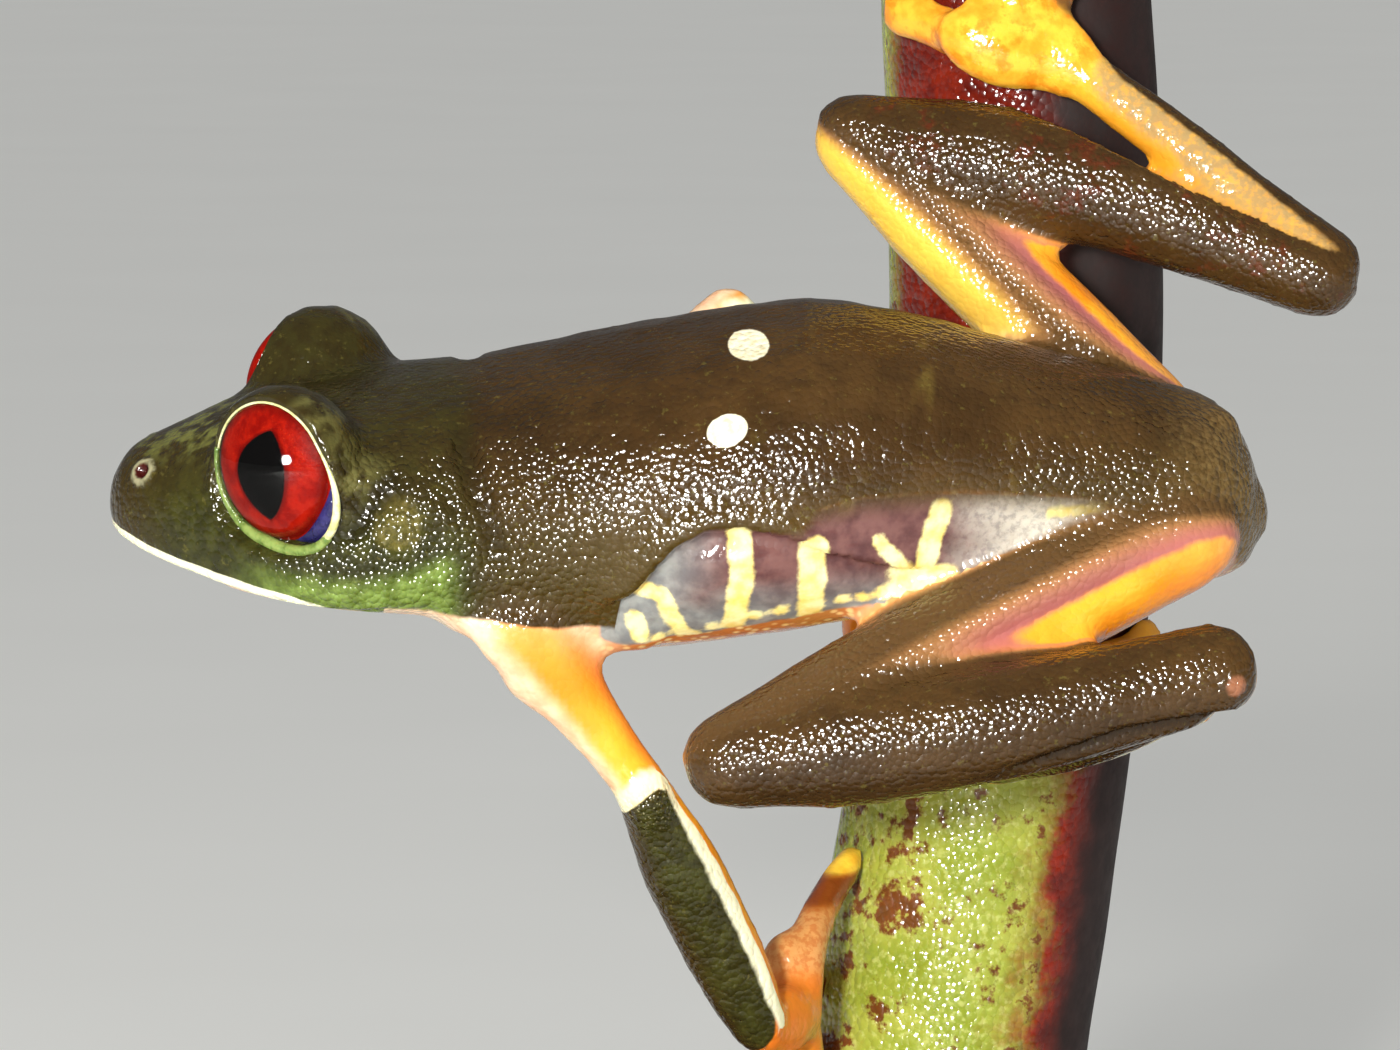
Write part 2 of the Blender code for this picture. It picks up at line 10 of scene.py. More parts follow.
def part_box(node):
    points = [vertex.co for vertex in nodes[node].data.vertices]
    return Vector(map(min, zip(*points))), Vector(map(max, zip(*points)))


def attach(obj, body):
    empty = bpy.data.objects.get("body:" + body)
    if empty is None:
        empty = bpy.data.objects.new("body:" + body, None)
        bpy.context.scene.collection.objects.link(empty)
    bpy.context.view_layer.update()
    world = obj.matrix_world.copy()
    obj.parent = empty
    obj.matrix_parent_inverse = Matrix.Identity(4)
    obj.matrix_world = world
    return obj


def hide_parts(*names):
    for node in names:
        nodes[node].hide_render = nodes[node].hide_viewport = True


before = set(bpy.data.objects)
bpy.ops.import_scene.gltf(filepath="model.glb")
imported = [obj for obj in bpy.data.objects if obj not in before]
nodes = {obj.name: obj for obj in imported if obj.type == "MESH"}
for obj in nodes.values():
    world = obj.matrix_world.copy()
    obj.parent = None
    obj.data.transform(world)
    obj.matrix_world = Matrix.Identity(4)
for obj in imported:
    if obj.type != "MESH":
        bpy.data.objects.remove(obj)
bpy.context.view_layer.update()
MM = 0.001

# %% [markdown]
# ## Camera, floor and light
# The frog is small, so it is seen through a long lens from 420 mm away and 6 degrees above.
# A wide soft sky lights it from above and in front. A small bright panel beside the camera and a
# wider one that shows only in wet surfaces give each granule its own tiny highlight.
# %% Camera
VIEW_FROM = Vector((-9.6, -425.7, 92.9)) * MM
VIEW_TILT = 84.0                           # degrees from straight down
LENS, SENSOR = 225.0, 36.0                 # mm

lens = bpy.data.cameras.new("camera")
lens.lens, lens.sensor_width = LENS, SENSOR
lens.clip_start, lens.clip_end = 0.02, 20.0
camera = bpy.data.objects.new("camera", lens)
camera.location = VIEW_FROM
camera.rotation_euler = (math.radians(VIEW_TILT), 0.0, 0.0)
bpy.context.scene.collection.objects.link(camera)
bpy.context.scene.camera = camera
print("camera", [round(c, 4) for c in camera.location])

# %% Making an object from a bmesh
def add_piece(name, bm, scale=MM, smooth=True):
    """A mesh object at the origin, from a bmesh in millimetres. It frees the bmesh."""
    bmesh.ops.scale(bm, vec=(scale,) * 3, verts=bm.verts)
    mesh = bpy.data.meshes.new(name)
    bm.to_mesh(mesh)
    bm.free()
    if smooth:
        mesh.shade_smooth()
    made = bpy.data.objects.new(name, mesh)
    bpy.context.scene.collection.objects.link(made)
    return made


def hand_over(piece, finish, slot, *cad_names):
    """Give a finished piece its material, let it ride with the frame, and hide the CAD nodes that
    it stands for.
    """
    piece.data.materials.append(finish)
    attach(piece, "root")
    if cad_names:
        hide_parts(*cad_names)
    print(piece.name, len(piece.data.polygons), "faces, stands for", len(cad_names), "nodes")


def store(piece, **measures):
    """Store a value for each point of a piece, for its finish to read."""
    for name, values in measures.items():
        stored = piece.data.attributes.new(name, "FLOAT", "POINT")
        stored.data.foreach_set("value", values.astype(np.float32))


# %% Floor and studio light
FLOOR_SIZE = 9.0                           # m, like all the lights' places and sizes
FROG_MIDDLE = (-0.005, -0.005, 0.052)
SKY_TURN = (math.radians(46), math.radians(6), 0.0)
SKY_STRENGTH, SKY_WIDTH, SKY_TINT = 1.75, math.radians(40), (1.0, 0.99, 0.96)
PANELS = [                                 # place, width, watts, tint, and glints only or not
    ("flash_panel", (-0.085, -0.455, 0.130), 0.046, 2.7, (1.0, 0.98, 0.93), False),
    ("glint_panel", (-0.115, -0.452, 0.128), 0.125, 6.4, (1.0, 0.99, 0.95), True),
]
ROOM_TINT, ROOM_STRENGTH = (0.84, 0.85, 0.86, 1.0), 0.19

floor_mesh = bmesh.new()
bmesh.ops.create_grid(floor_mesh, x_segments=1, y_segments=1, size=FLOOR_SIZE)
floor = add_piece("floor", floor_mesh, scale=1.0, smooth=False)


def hang_light(name, kind, power, tint):
    """A light and its object, still to be placed."""
    lamp = bpy.data.lights.new(name, kind)
    lamp.energy, lamp.color = power, tint
    hung = bpy.data.objects.new(name, lamp)
    bpy.context.scene.collection.objects.link(hung)
    return lamp, hung


sky, sky_object = hang_light("sky_panel", "SUN", SKY_STRENGTH, SKY_TINT)
sky.angle = SKY_WIDTH
sky_object.rotation_euler = SKY_TURN
sky_object.visible_glossy = False
for name, place, width, watts, tint, glints_only in PANELS:
    panel, hung = hang_light(name, "AREA", watts, tint)
    panel.shape, panel.size = "DISK", width
    hung.location = place
    hung.rotation_euler = (Vector(FROG_MIDDLE) - Vector(place)).to_track_quat("-Z", "Y").to_euler()
    hung.visible_diffuse = not glints_only
world = bpy.data.worlds.new("studio")
world.use_nodes = True
world.node_tree.nodes["Background"].inputs["Color"].default_value = ROOM_TINT
world.node_tree.nodes["Background"].inputs["Strength"].default_value = ROOM_STRENGTH
bpy.context.scene.world = world
bpy.context.scene.view_settings.view_transform = "Standard"

# %% [markdown]
# ## A small paint kit
# Every finish is made of shader nodes. `Value` wraps a socket, so that sums read as sums, and
# `Paint.node` makes any other node: its settings first, then the values or links it needs. A
# colour of three numbers is a screen colour from 0 to 255.
# %% Shader values and materials
class Value:
    """A number that varies over a surface."""

    def __init__(self, paint, socket):
        self.paint, self.socket = paint, socket

    def maths(self, operation, other=0.0, swap=False):
        first, second = (other, self) if swap else (self, other)
        return self.paint.node("Math", {0: first, 1: second}, operation=operation)

    def __add__(self, other):
        return self.maths("ADD", other)

    def __sub__(self, other):
        return self.maths("SUBTRACT", other)

    def __rsub__(self, other):
        return self.maths("SUBTRACT", other, swap=True)

    def __mul__(self, other):
        return self.maths("MULTIPLY", other)

    def __truediv__(self, other):
        return self.maths("DIVIDE", other)

    def __pow__(self, other):
        return self.maths("POWER", other)

    def least(self, other):
        return self.maths("MINIMUM", other)

    def most(self, other):
        return self.maths("MAXIMUM", other)

    def size(self):
        return self.maths("ABSOLUTE")

    __radd__, __rmul__ = __add__, __mul__


def linear(tone):
    """A screen colour as the linear colour that shaders take."""
    parts = [c / 255 for c in tone]
    return (*[c / 12.92 if c <= 0.04045 else ((c + 0.055) / 1.055) ** 2.4 for c in parts], 1.0)


class Paint:
    """A material on a Principled BSDF, and short ways to the nodes used most."""

    def __init__(self, name, **constants):
        self.material = bpy.data.materials.new(name)
        self.material.use_nodes = True
        self.tree = self.material.node_tree
        self.shader = self.tree.nodes["Principled BSDF"]
        for socket, value in constants.items():
            self.shader.inputs[socket.replace("_", " ")].default_value = value

    def node(self, kind, values, output=0, **settings):
        made = self.tree.nodes.new("ShaderNode" + kind)
        for setting, value in settings.items():
            setattr(made, setting, value)
        for socket, value in values.items():
            if isinstance(value, Value):
                self.tree.links.new(value.socket, made.inputs[socket])
            else:
                made.inputs[socket].default_value = value
        return Value(self, made.outputs[output])

    def set(self, socket, value):
        self.tree.links.new(value.socket, self.shader.inputs[socket])

    def place(self):
        return self.node("TexCoord", {}, "Object")

    def measure(self, name):
        return self.node("Attribute", {}, "Fac", attribute_name=name)

    def step(self, value, low, high, start=0.0, end=1.0):
        """start below low, end above high, and a smooth turn between them."""
        return self.node("MapRange", {"Value": value, "From Min": low, "From Max": high,
                                      "To Min": start, "To Max": end},
                         interpolation_type="SMOOTHSTEP")

    def mix(self, share, first, second):
        first, second = (linear(c) if isinstance(c, tuple) and len(c) == 3 else c
                         for c in (first, second))
        return self.node("Mix", {0: share, 6: first, 7: second}, 2, data_type="RGBA")

    def turn(self, value, low, high, first, second):
        """The first colour where value is below low, the second where it is above high."""
        return self.mix(self.step(value, low, high), first, second)

    def cover(self, colour, *layers):
        """A colour with layers laid over it in turn, each a share and its colour."""
        for share, layer in layers:
            colour = self.mix(share, colour, layer)
        return colour

    def clouds(self, size, detail=2.0, rough=0.5, place=None):
        """Soft noise from 0 to 1, whose patches are about size millimetres across."""
        return self.node("TexNoise", {"Vector": place or self.place(), "Scale": 1 / (size * MM),
                                      "Detail": detail, "Roughness": rough})

    def grains(self, size):
        """Cells about size millimetres across; 0 at each middle, about 1 between them."""
        return self.node("TexVoronoi", {"Vector": self.place(), "Scale": 1 / (size * MM)},
                         "Distance")

    def relief(self, height, depth):
        """Bump of height 0 to 1, depth millimetres deep."""
        self.set("Normal", self.node("Bump", {"Height": height, "Distance": depth * MM,
                                              "Strength": 1.0}))


floor_paint = Paint("pale_floor", Roughness=0.7)
floor_paint.set("Base Color", floor_paint.mix(floor_paint.clouds(40), (241, 242, 240),
                                              (245, 246, 244)))
floor.data.materials.append(floor_paint.material)
print("floor finish ready")

# %% [markdown]
# ## The body's own measures
# Markings and folds belong to places on the animal, so they are placed in measures of its own:
# millimetres behind the snout, to the left of its middle, and towards its back. The axis is
# the one that the solids were lofted on: straight, rolled towards the viewer, with the snout
# turned a little away.
# %% Measures along the body
AXIS_START = Vector((-37.9, -7.8, 51.1))
BODY_LENGTH, NECK, TURN_START = 55.4, 17.6, 12.0
HEAD_ROLL, TRUNK_ROLL, HIP_ROLL, HEAD_YAW = (math.radians(a) for a in (14.0, 20.0, 23.0, 5.0))


def body_axes(behind):
    """Centre of the axis, left and back, as arrays of rows, for an array of distances."""
    front = HEAD_ROLL + (TRUNK_ROLL - HEAD_ROLL) * (np.clip(behind, 0, NECK) / NECK) ** 3
    rear = TRUNK_ROLL + (HIP_ROLL - TRUNK_ROLL) * (behind - NECK) / (BODY_LENGTH - NECK)
    roll = np.where(behind < NECK, front, rear)
    bend = np.clip((NECK - behind) / (NECK - TURN_START), 0, 1)
    yaw = HEAD_YAW * bend
    drift = yaw * (bend * (NECK - TURN_START) / 2 + np.maximum(TURN_START - behind, 0))
    zero = np.zeros_like(behind)
    centre = np.stack([AXIS_START.x + behind, AXIS_START.y + drift, AXIS_START.z + zero], 1)
    level = np.stack([-np.sin(yaw), -np.cos(yaw), zero], 1)
    up = np.array([0.0, 0.0, 1.0])
    sine, cosine = np.sin(roll)[:, None], np.cos(roll)[:, None]
    return centre, level * cosine - up * sine, up * cosine + level * sine


def body_chart(points):
    """behind, aside and up for rows of points in millimetres."""
    behind = points[:, 0] - AXIS_START.x
    centre, left, back = body_axes(behind)
    offset = points - centre
    return behind, (offset * left).sum(1), (offset * back).sum(1)


def body_point(behind, aside, up):
    centre, left, back = (a[0] for a in body_axes(np.array([float(behind)])))
    return Vector(centre + left * aside + back * up)


print("snout to rump:", BODY_LENGTH, "mm")

# %% [markdown]
# ## The eyes' places
# Both eyes are flattened balls that look sideways and forwards. All that surrounds them is
# measured in the eye's own frame: towards the rear, upwards, and out along the gaze.
# %% Eye frames
EYE_BEHIND, EYE_ASIDE, EYE_UP = 9.3, 5.65, 2.85
EYE_FORWARD = {1: math.radians(33.0), -1: math.radians(38.5)}
EYE_TILT = math.radians(4.0)
OPENING = 3.28                             # radius of the opening between the lids


def eye_frame(side):
    """Centre, rearward, upward and gaze of an eye; side is 1 for left and -1 for right."""
    _, left, back = (Vector(a[0]) for a in body_axes(np.array([EYE_BEHIND])))
    ahead = left.cross(back)
    gaze = left * side * math.cos(EYE_FORWARD[side]) + ahead * math.sin(EYE_FORWARD[side])
    gaze = (gaze * math.cos(EYE_TILT) + back * math.sin(EYE_TILT)).normalized()
    upward = (back - gaze * back.dot(gaze)).normalized()
    rearward = upward.cross(gaze) * -side
    if rearward.x < 0:
        rearward = -rearward
    return body_point(EYE_BEHIND, side * EYE_ASIDE, EYE_UP), rearward, upward, gaze


SIDES = {"left": 1, "right": -1}
eyes = {word: eye_frame(side) for word, side in SIDES.items()}
print("eye middles, mm:", {w: [round(c, 1) for c in e[0]] for w, e in eyes.items()})

# %% [markdown]
# ## One skin over all the flesh
# The frame parts the body at every joint. A real frog has one skin, so copies of the flesh and
# the eyeballs are swelled until the cuts close, fused into one surface by a voxel remesh, and
# shrunk back. The head then gets smaller faces for its finer forms, and both it and the near
# side are smoothed so that the facets of the solids fade.
# %% Fuse the flesh
FLESH = ["head", "trunk"] + [f"{part}_{word}" for word in SIDES for part in
                             ("thigh", "shank", "tarsus", "foot", "upper_arm", "forearm", "hand")]
SWELL, SHRINK, VOXEL = 0.26, 0.22, 0.355   # mm
HEAD_END = 16.8                            # mm behind the snout
NEAR_SIDE = -8.0                           # the near side lies before this y
ALL_PASSES, HEAD_PASSES, NEAR_PASSES = 2, 22, 5          # of smoothing
FILLERS = [                                # middle, radii and slope of each soft fullness added
    ((-20.4, -12.4, 45.4), (4.2, 2.4, 1.35), 34.0),      # breast skin before the left arm
    ((-17.6, -12.4, 44.2), (2.6, 2.2, 2.4), 40.0),
    ((-18.5, -4.0, 49.0), (3.6, 2.6, 2.2), -30.0),      # and before the right arm
    ((-13.0, -12.2, 44.6), (2.2, 1.6, 1.2), 0.0),       # armpit
    ((-5.3, -0.9, 26.6), (1.35, 1.5, 1.7), 20.0),       # heel of the left thumb
    ((-2.9, -2.4, 31.9), (0.86, 0.8, 1.30), 14.0),      # pad of the left thumb
    ((5.0, 1.2, 71.5), (3.2, 1.3, 1.9), 20.0),          # sole of the right foot
]


def fused_flesh():
    """A bmesh in millimetres of one closed surface over the flesh."""
    bm = bmesh.new()
    for name in FLESH + ["eye_left", "eye_right"]:
        bm.from_mesh(nodes[name].data)
    bmesh.ops.scale(bm, vec=(1 / MM,) * 3, verts=bm.verts)
    bmesh.ops.remove_doubles(bm, verts=bm.verts, dist=0.002)
    for place, radii, slope in FILLERS:
        new = bmesh.ops.create_uvsphere(bm, u_segments=24, v_segments=12, radius=1.0)["verts"]
        bmesh.ops.scale(bm, vec=radii, verts=new)
        bmesh.ops.rotate(bm, cent=(0, 0, 0), verts=new,
                         matrix=Matrix.Rotation(math.radians(slope), 3, "Y"))
        bmesh.ops.translate(bm, vec=place, verts=new)
    bm.normal_update()
    for vert in bm.verts:
        vert.co += vert.normal * SWELL
    swollen = add_piece("swollen_flesh", bm)
    fuse = swollen.modifiers.new("fuse", "REMESH")
    fuse.mode, fuse.voxel_size = "VOXEL", VOXEL * MM
    graph = bpy.context.evaluated_depsgraph_get()
    done = bpy.data.meshes.new_from_object(swollen.evaluated_get(graph))
    bpy.data.objects.remove(swollen)
    bm = bmesh.new()
    bm.from_mesh(done)
    bpy.data.meshes.remove(done)
    bmesh.ops.scale(bm, vec=(1 / MM,) * 3, verts=bm.verts)
    return bm


def keep_largest(bm):
    """Delete every loose shell but the largest, such as the walls of a closed hollow."""
    left, shells = set(bm.verts), []
    while left:
        shell, edge = set(), [next(iter(left))]
        while edge:
            vert = edge.pop()
            if vert in left:
                left.discard(vert)
                shell.add(vert)
                edge += [e.other_vert(vert) for e in vert.link_edges]
        shells.append(shell)
    shells.sort(key=len)
    for shell in shells[:-1]:
        bmesh.ops.delete(bm, geom=list(shell), context="VERTS")
    return len(shells) - 1


def soften(bm, verts, passes):
    for _ in range(passes):
        bmesh.ops.smooth_vert(bm, verts=verts, factor=0.5, use_axis_x=True, use_axis_y=True,
                              use_axis_z=True)


def on_head(vert):
    return vert.co.x - AXIS_START.x < HEAD_END


flesh = fused_flesh()
dropped = keep_largest(flesh)
soften(flesh, flesh.verts, ALL_PASSES)
flesh.normal_update()
for vert in flesh.verts:
    vert.co -= vert.normal * SHRINK
fine = [e for e in flesh.edges if all(on_head(v) for v in e.verts)]
bmesh.ops.subdivide_edges(flesh, edges=fine, cuts=1, use_grid_fill=True, smooth=0.4)
head_points = [v for v in flesh.verts if on_head(v)]
near_points = [v for v in flesh.verts if not on_head(v) and v.co.y < NEAR_SIDE]
soften(flesh, head_points, HEAD_PASSES)
soften(flesh, near_points, NEAR_PASSES)
flesh.normal_update()
print("fused flesh:", len(flesh.verts), "points,", dropped, "loose shells dropped")

# %% Points and normals as arrays
skin_points = np.array([v.co for v in flesh.verts])
skin_normals = np.array([v.normal for v in flesh.verts])
skin_x, skin_y, skin_z = skin_points.T     # these follow the points when they are pushed
behind, aside, up = body_chart(skin_points)


def rise(value, low, high):
    """0 below low, 1 above high, and a smooth turn between them."""
    t = np.clip((value - low) / (high - low), 0, 1)
    return t * t * (3 - 2 * t)


def fall(value, low, high):
    return 1 - rise(value, low, high)


def hump(distance, width):
    """1 at no distance, falling smoothly to 0 at width."""
    return fall(np.abs(distance), 0, width)


def distance_from(place):
    return np.linalg.norm(skin_points - np.array(place), axis=1)


def from_line(x, y, line):
    """Distance of flat points from a line of points, and how far along it they are."""
    best, run_at = np.full(len(x), 1e9), np.zeros(len(x))
    run = 0.0
    for (ax, ay), (bx, by) in zip(line, line[1:]):
        length = math.hypot(bx - ax, by - ay)
        t = np.clip(((x - ax) * (bx - ax) + (y - ay) * (by - ay)) / length**2, 0, 1)
        away = np.hypot(x - ax - t * (bx - ax), y - ay - t * (by - ay))
        nearer = away < best
        best = np.where(nearer, away, best)
        run_at = np.where(nearer, run + t * length, run_at)
        run += length
    return best, run_at


def height_of(line, at):
    """A line's height over the places at, straight between its points."""
    return np.interp(at, [p[0] for p in line], [p[1] for p in line])


print("charted", len(behind), "points")

# %% [markdown]
# ## Which limb, and where on it
# Each limb has a dark strip along its outer side, and bright skin where it folds against the
# body. The strip is told by the angle round the limb's own axis. Every point of the skin is
# shared out among the parts that lie nearest to it, so that colours blend at the joints.
# %% Limb axes
LIMBS = {                                  # joints in mm, turn and half width of the strip
    "thigh_left": ((13.4, -10.9, 48.9), (-8.2, -16.6, 38.8), 62.0, 48.0),
    "shank_left": ((-8.2, -16.6, 38.8), (14.9, -15.9, 42.9), 0.0, 140.0),
    "tarsus_left": ((14.9, -15.9, 42.9), (4.6, -3.6, 37.0), 10.0, 84.0),
    "thigh_right": ((12.2, -3.6, 53.4), (-2.0, 0.3, 66.9), 8.0, 21.0),
    "shank_right": ((-2.0, 0.3, 66.9), (20.5, -3.0, 60.9), 18.0, 112.0),
    "tarsus_right": ((20.5, -3.0, 60.9), (9.3, 1.0, 70.0), 96.0, 44.0),
    "upper_arm_left": ((-18.3, -12.8, 44.9), (-12.5, -11.7, 37.0), -90.0, 60.0),
    "upper_arm_right": ((-15.4, -3.0, 52.2), (-8.2, 2.7, 58.3), 90.0, 60.0),
    "forearm_left": ((-12.5, -11.7, 37.0), (-6.6, -5.9, 24.2), -34.0, 87.0),
    "forearm_right": ((-8.2, 2.7, 58.3), (-2.9, 7.2, 49.0), 60.0, 80.0),
}


def turned_by(angle, middle):
    """An angle in degrees as it is seen from a middle one, from -180 to 180."""
    return (angle - middle + 180) % 360 - 180


def limb_chart(points, start, end, turn):
    """Place along a limb, distance from its axis, and degrees away from its strip's middle.

    A turn of 0 faces the viewer, at -Y, and 90 faces up. The last value is that angle with
    a sign, + on the upper side.
    """
    start, end = np.array(start), np.array(end)
    axis = (end - start) / np.linalg.norm(end - start)
    offset = points - start
    place = offset @ axis
    radial = offset - place[:, None] * axis
    out = np.array([0.0, -1.0, 0.0]) - axis * -axis[1]
    out /= np.linalg.norm(out)
    upper = np.cross(axis, out)
    if upper[2] < 0 or (abs(upper[2]) < 0.3 and upper[0] < 0):
        upper = -upper
    angle = np.degrees(np.arctan2(radial @ upper, radial @ out))
    return place, np.linalg.norm(radial, axis=1), turned_by(angle, turn)


charts = {name: limb_chart(skin_points, start, end, turn)
          for name, (start, end, turn, _) in LIMBS.items()}
print("limb charts:", ", ".join(LIMBS))

# %% Share the skin out among the parts
SHARE_WIDTH = 0.45                         # mm over which two parts' colours blend
FAR = 4.0                                  # mm, past which a part has no say


def distance_to(name):
    """Distance of each skin point from a CAD node, in millimetres, at most FAR."""
    bm = bmesh.new()
    bm.from_mesh(nodes[name].data)
    tree = BVHTree.FromBMesh(bm)
    bm.free()
    low, high = (np.array(c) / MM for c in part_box(name))
    close = np.all((skin_points > low - FAR) & (skin_points < high + FAR), axis=1)
    away = np.full(len(skin_points), FAR)
    for i in np.nonzero(close)[0]:
        found = tree.find_nearest(Vector(skin_points[i]) * MM, FAR * MM)
        if found[3] is not None:
            away[i] = found[3] / MM
    return away


away = {name: distance_to(name) for name in FLESH}
nearest = np.min(list(away.values()), axis=0)
share = {name: np.exp(-(away[name] - nearest) / SHARE_WIDTH) for name in FLESH}
total = sum(share.values())
share = {name: value / total for name, value in share.items()}
on_body = share["head"] + share["trunk"]
print("skin shared out among", len(FLESH), "parts")

# %% [markdown]
# ## Modelling the skin
# The forms that the light catches are modelled: the dish that each eye sits in,
# the mouth, nostrils and eardrum, the fold over the eardrum, the crease of the neck, the fold
# that overhangs the flank, and the uneven granular back. Each is a smooth push along the
# skin's normal, and the pushes are added up. The creases and the nostrils' openings are
# also darkened with painted shade in the skin's colour.
# %% Where the folds run, in millimetres behind the snout and up
LIP = [(-0.5, -1.8), (0.7, -2.05), (2.0, -2.4), (3.5, -2.65), (6.6, -2.98), (9.7, -3.2),
       (12.2, -3.1), (14.6, -2.4), (16.5, -1.5)]
MOUTH_DROP, MOUTH_END = 0.42, 13.6         # the slit runs below the lip, back to here
FOLD = [(23.4, -3.0), (24.0, -2.4), (25.2, -1.7), (26.0, -0.6), (27.1, 0.8), (28.6, 1.7),
        (30.3, 1.8), (32.0, 1.5), (34.3, 0.5), (35.9, -0.1), (37.5, -0.7), (40.6, -1.3)]
EAR_FOLD = [(11.6, 3.6), (12.8, 3.0), (14.2, 2.9), (15.6, 2.4), (16.5, 1.3), (17.1, -0.4)]
NECK_CREASE = [(17.2, 4.2), (18.0, 2.6), (18.7, 0.6), (18.9, -1.2)]
CANTHUS = [(1.2, 2.2), (3.0, 2.7), (5.8, 3.4)]          # the brighter edge from nostril to eye
EAR = (14.0, 1.2)
EAR_RADIUS = 1.35
NOSTRIL = (1.75, 2.35, 1.15)               # behind, aside, up
KNOB = (53.4, -0.4, 2.9)                   # the end of the tail bone under the skin
THIGH_RIDGES = {"left": 19.0, "right": 22.0}             # degrees round each thigh
# and these in the model's own millimetres: x and z, or x, y and z
SHIN_FOLD = [(3.0, 37.7), (5.05, 38.4), (7.5, 39.2), (10.4, 40.2), (13.0, 40.6), (15.4, 40.8)]
WART, ELBOW = Vector((15.6, -17.7, 42.4)), Vector((-12.2, -13.3, 36.1))
BREAST_CORNER = (-20.4, -12.8, 42.5)       # the breast skin is drawn in here

# %% Push the skin
def far_from(place, mirrored=False):
    """Distance from a place on the body, or from it and its mirror image."""
    across = np.abs(aside) if mirrored else aside
    return np.sqrt((behind - place[0]) ** 2 + (across - place[1]) ** 2 + (up - place[2]) ** 2)


on_side = rise(np.abs(aside), 2.0, 4.0) * on_body
push = np.zeros(len(skin_points))

fold_far, fold_run = from_line(behind, up, FOLD)
fold_ends = rise(fold_run, 0.0, 2.0) * fall(fold_run, 17.0, 20.0)
above_fold = up - height_of(FOLD, behind)
in_fold_span = (behind > FOLD[0][0]) & (behind < FOLD[-1][0])
signed_fold = np.where(above_fold > 0, fold_far, -fold_far)
lip_over = np.where(signed_fold > 0, 0.34 * hump(signed_fold, 1.7), 0.0)
tuck_under = np.where(signed_fold <= 0, -0.42 * hump(signed_fold + 0.25, 1.6), 0.0)
fold_edge = lip_over * rise(signed_fold, -0.02, 0.18) + tuck_under
push += fold_edge * fold_ends * in_fold_span * on_side

ear_far = np.hypot(behind - EAR[0], (up - EAR[1]))
ear_side = rise(np.abs(aside), 5.0, 6.5)
ear_rim = 0.09 * hump(ear_far - EAR_RADIUS, 0.36) - 0.10 * hump(ear_far - EAR_RADIUS + 0.32, 0.3)
push += ear_side * (ear_rim + 0.05 * hump(ear_far, 0.6))
far, run = from_line(behind, up, EAR_FOLD)
push += 0.20 * hump(far, 0.75) * on_side * rise(run, 0, 1.0) * fall(run, 5.6, 7.4)
far, run = from_line(behind, up, NECK_CREASE)
neck_crease = hump(far, 1.0) * on_side * fall(run, 3.8, 5.6)
push -= 0.50 * neck_crease

mouth = up - (height_of(LIP, behind) - MOUTH_DROP)
jaw = share["head"] * fall(behind, MOUTH_END - 1.5, MOUTH_END)
push -= 0.30 * hump(mouth, 0.20) * jaw
push += 0.10 * hump(mouth - 0.42, 0.30) * jaw
nostril_far = far_from(NOSTRIL, mirrored=True)
push += 0.16 * hump(nostril_far - 0.52, 0.32) - 0.42 * hump(nostril_far, 0.34)
push += 0.45 * hump(far_from(KNOB), 1.6) * on_body
wart_far = distance_from(WART)
push += 0.30 * hump(wart_far, 0.65)
for word, ridge_at in THIGH_RIDGES.items():
    thigh = f"thigh_{word}"
    place, radius, angle = charts[thigh]
    beside = np.radians(angle + LIMBS[thigh][2] - ridge_at) * radius
    ends = rise(place, 1.0, 5.0) * fall(place, 17.0, 22.0)
    push -= 0.18 * hump(beside + 1.25, 0.5) * ends * share[thigh]
    push += 0.46 * hump(beside, 1.05) * ends * share[thigh]
far, run = from_line(skin_x, skin_z, SHIN_FOLD)
shin_fold = hump(far, 0.45) * (skin_y < NEAR_SIDE) * rise(run, 0.5, 3.5)
push -= 0.40 * shin_fold
elbow = hump(distance_from(ELBOW), 2.4)
push += 0.52 * elbow
push -= 0.80 * hump(distance_from(BREAST_CORNER), 2.4)
print("folds pushed by up to", round(float(np.abs(push).max()), 2), "mm")

# %% Uneven back and wrinkled neck
ROUGHNESS_SIZE, ROUGHNESS_HEIGHT = 1.5, 0.07
WRINKLE_SPACING, WRINKLE_HEIGHT = 0.95, 0.085


def bumps(points, size):
    """Noise from -1 to 1 with patches of that size, in millimetres."""
    return np.array([noise.noise(Vector(p)) for p in points / size])


uneven = bumps(skin_points, ROUGHNESS_SIZE)
push += ROUGHNESS_HEIGHT * uneven * (0.35 + 0.65 * share["trunk"])
wander = bumps(skin_points, 3.2)
neck_zone = rise(behind, 15.5, 18.5) * fall(behind, 26.0, 31.0) * on_body
ripple = np.sin((behind + 1.1 * wander + 0.25 * np.abs(up)) * 2 * math.pi / WRINKLE_SPACING)
ripple *= 0.5 + 0.8 * bumps(skin_points, 1.7)
push += WRINKLE_HEIGHT * ripple * neck_zone * rise(up, -2.0, 0.5) * fall(up, 3.0, 5.0)
skin_points += skin_normals * push[:, None]
print("back made uneven")

# %% Sink a dish for each eye, and raise the bulge behind it
BALL_RADIUS, BALL_DEPTH = 3.52, 1.62       # the iris is shallower than the cornea
BALL_OUT = {"left": 0.43, "right": 0.62}
LID_SEAT = 1.12                            # mm out along the gaze, where the lids' rims lie
UPPER_FRONT = 150                          # degrees; the right eye is open wider there,
FAR_LID_DROP, CUT_BACK_WIDTH = 0.95, 85    # and the skin round it is cut back
CORNER, CORNER_WIDTH, CORNER_REACH = 328.0, 68.0, 0.90    # the lower rear corner of the opening
# radius and angle, in the eye's frame, of points behind the bulge
BULGE_BACK = [(4.9, -28.0), (5.2, -5.0), (5.6, 15.0), (5.6, 40.0), (5.1, 64.0)]


def seat_out(word, angle):
    """How far out the lids' rim lies at an angle, in degrees: 0 rearward, 90 up."""
    drop = FAR_LID_DROP if word == "right" else 0.0
    return LID_SEAT - drop * hump(turned_by(angle, UPPER_FRONT), 80)


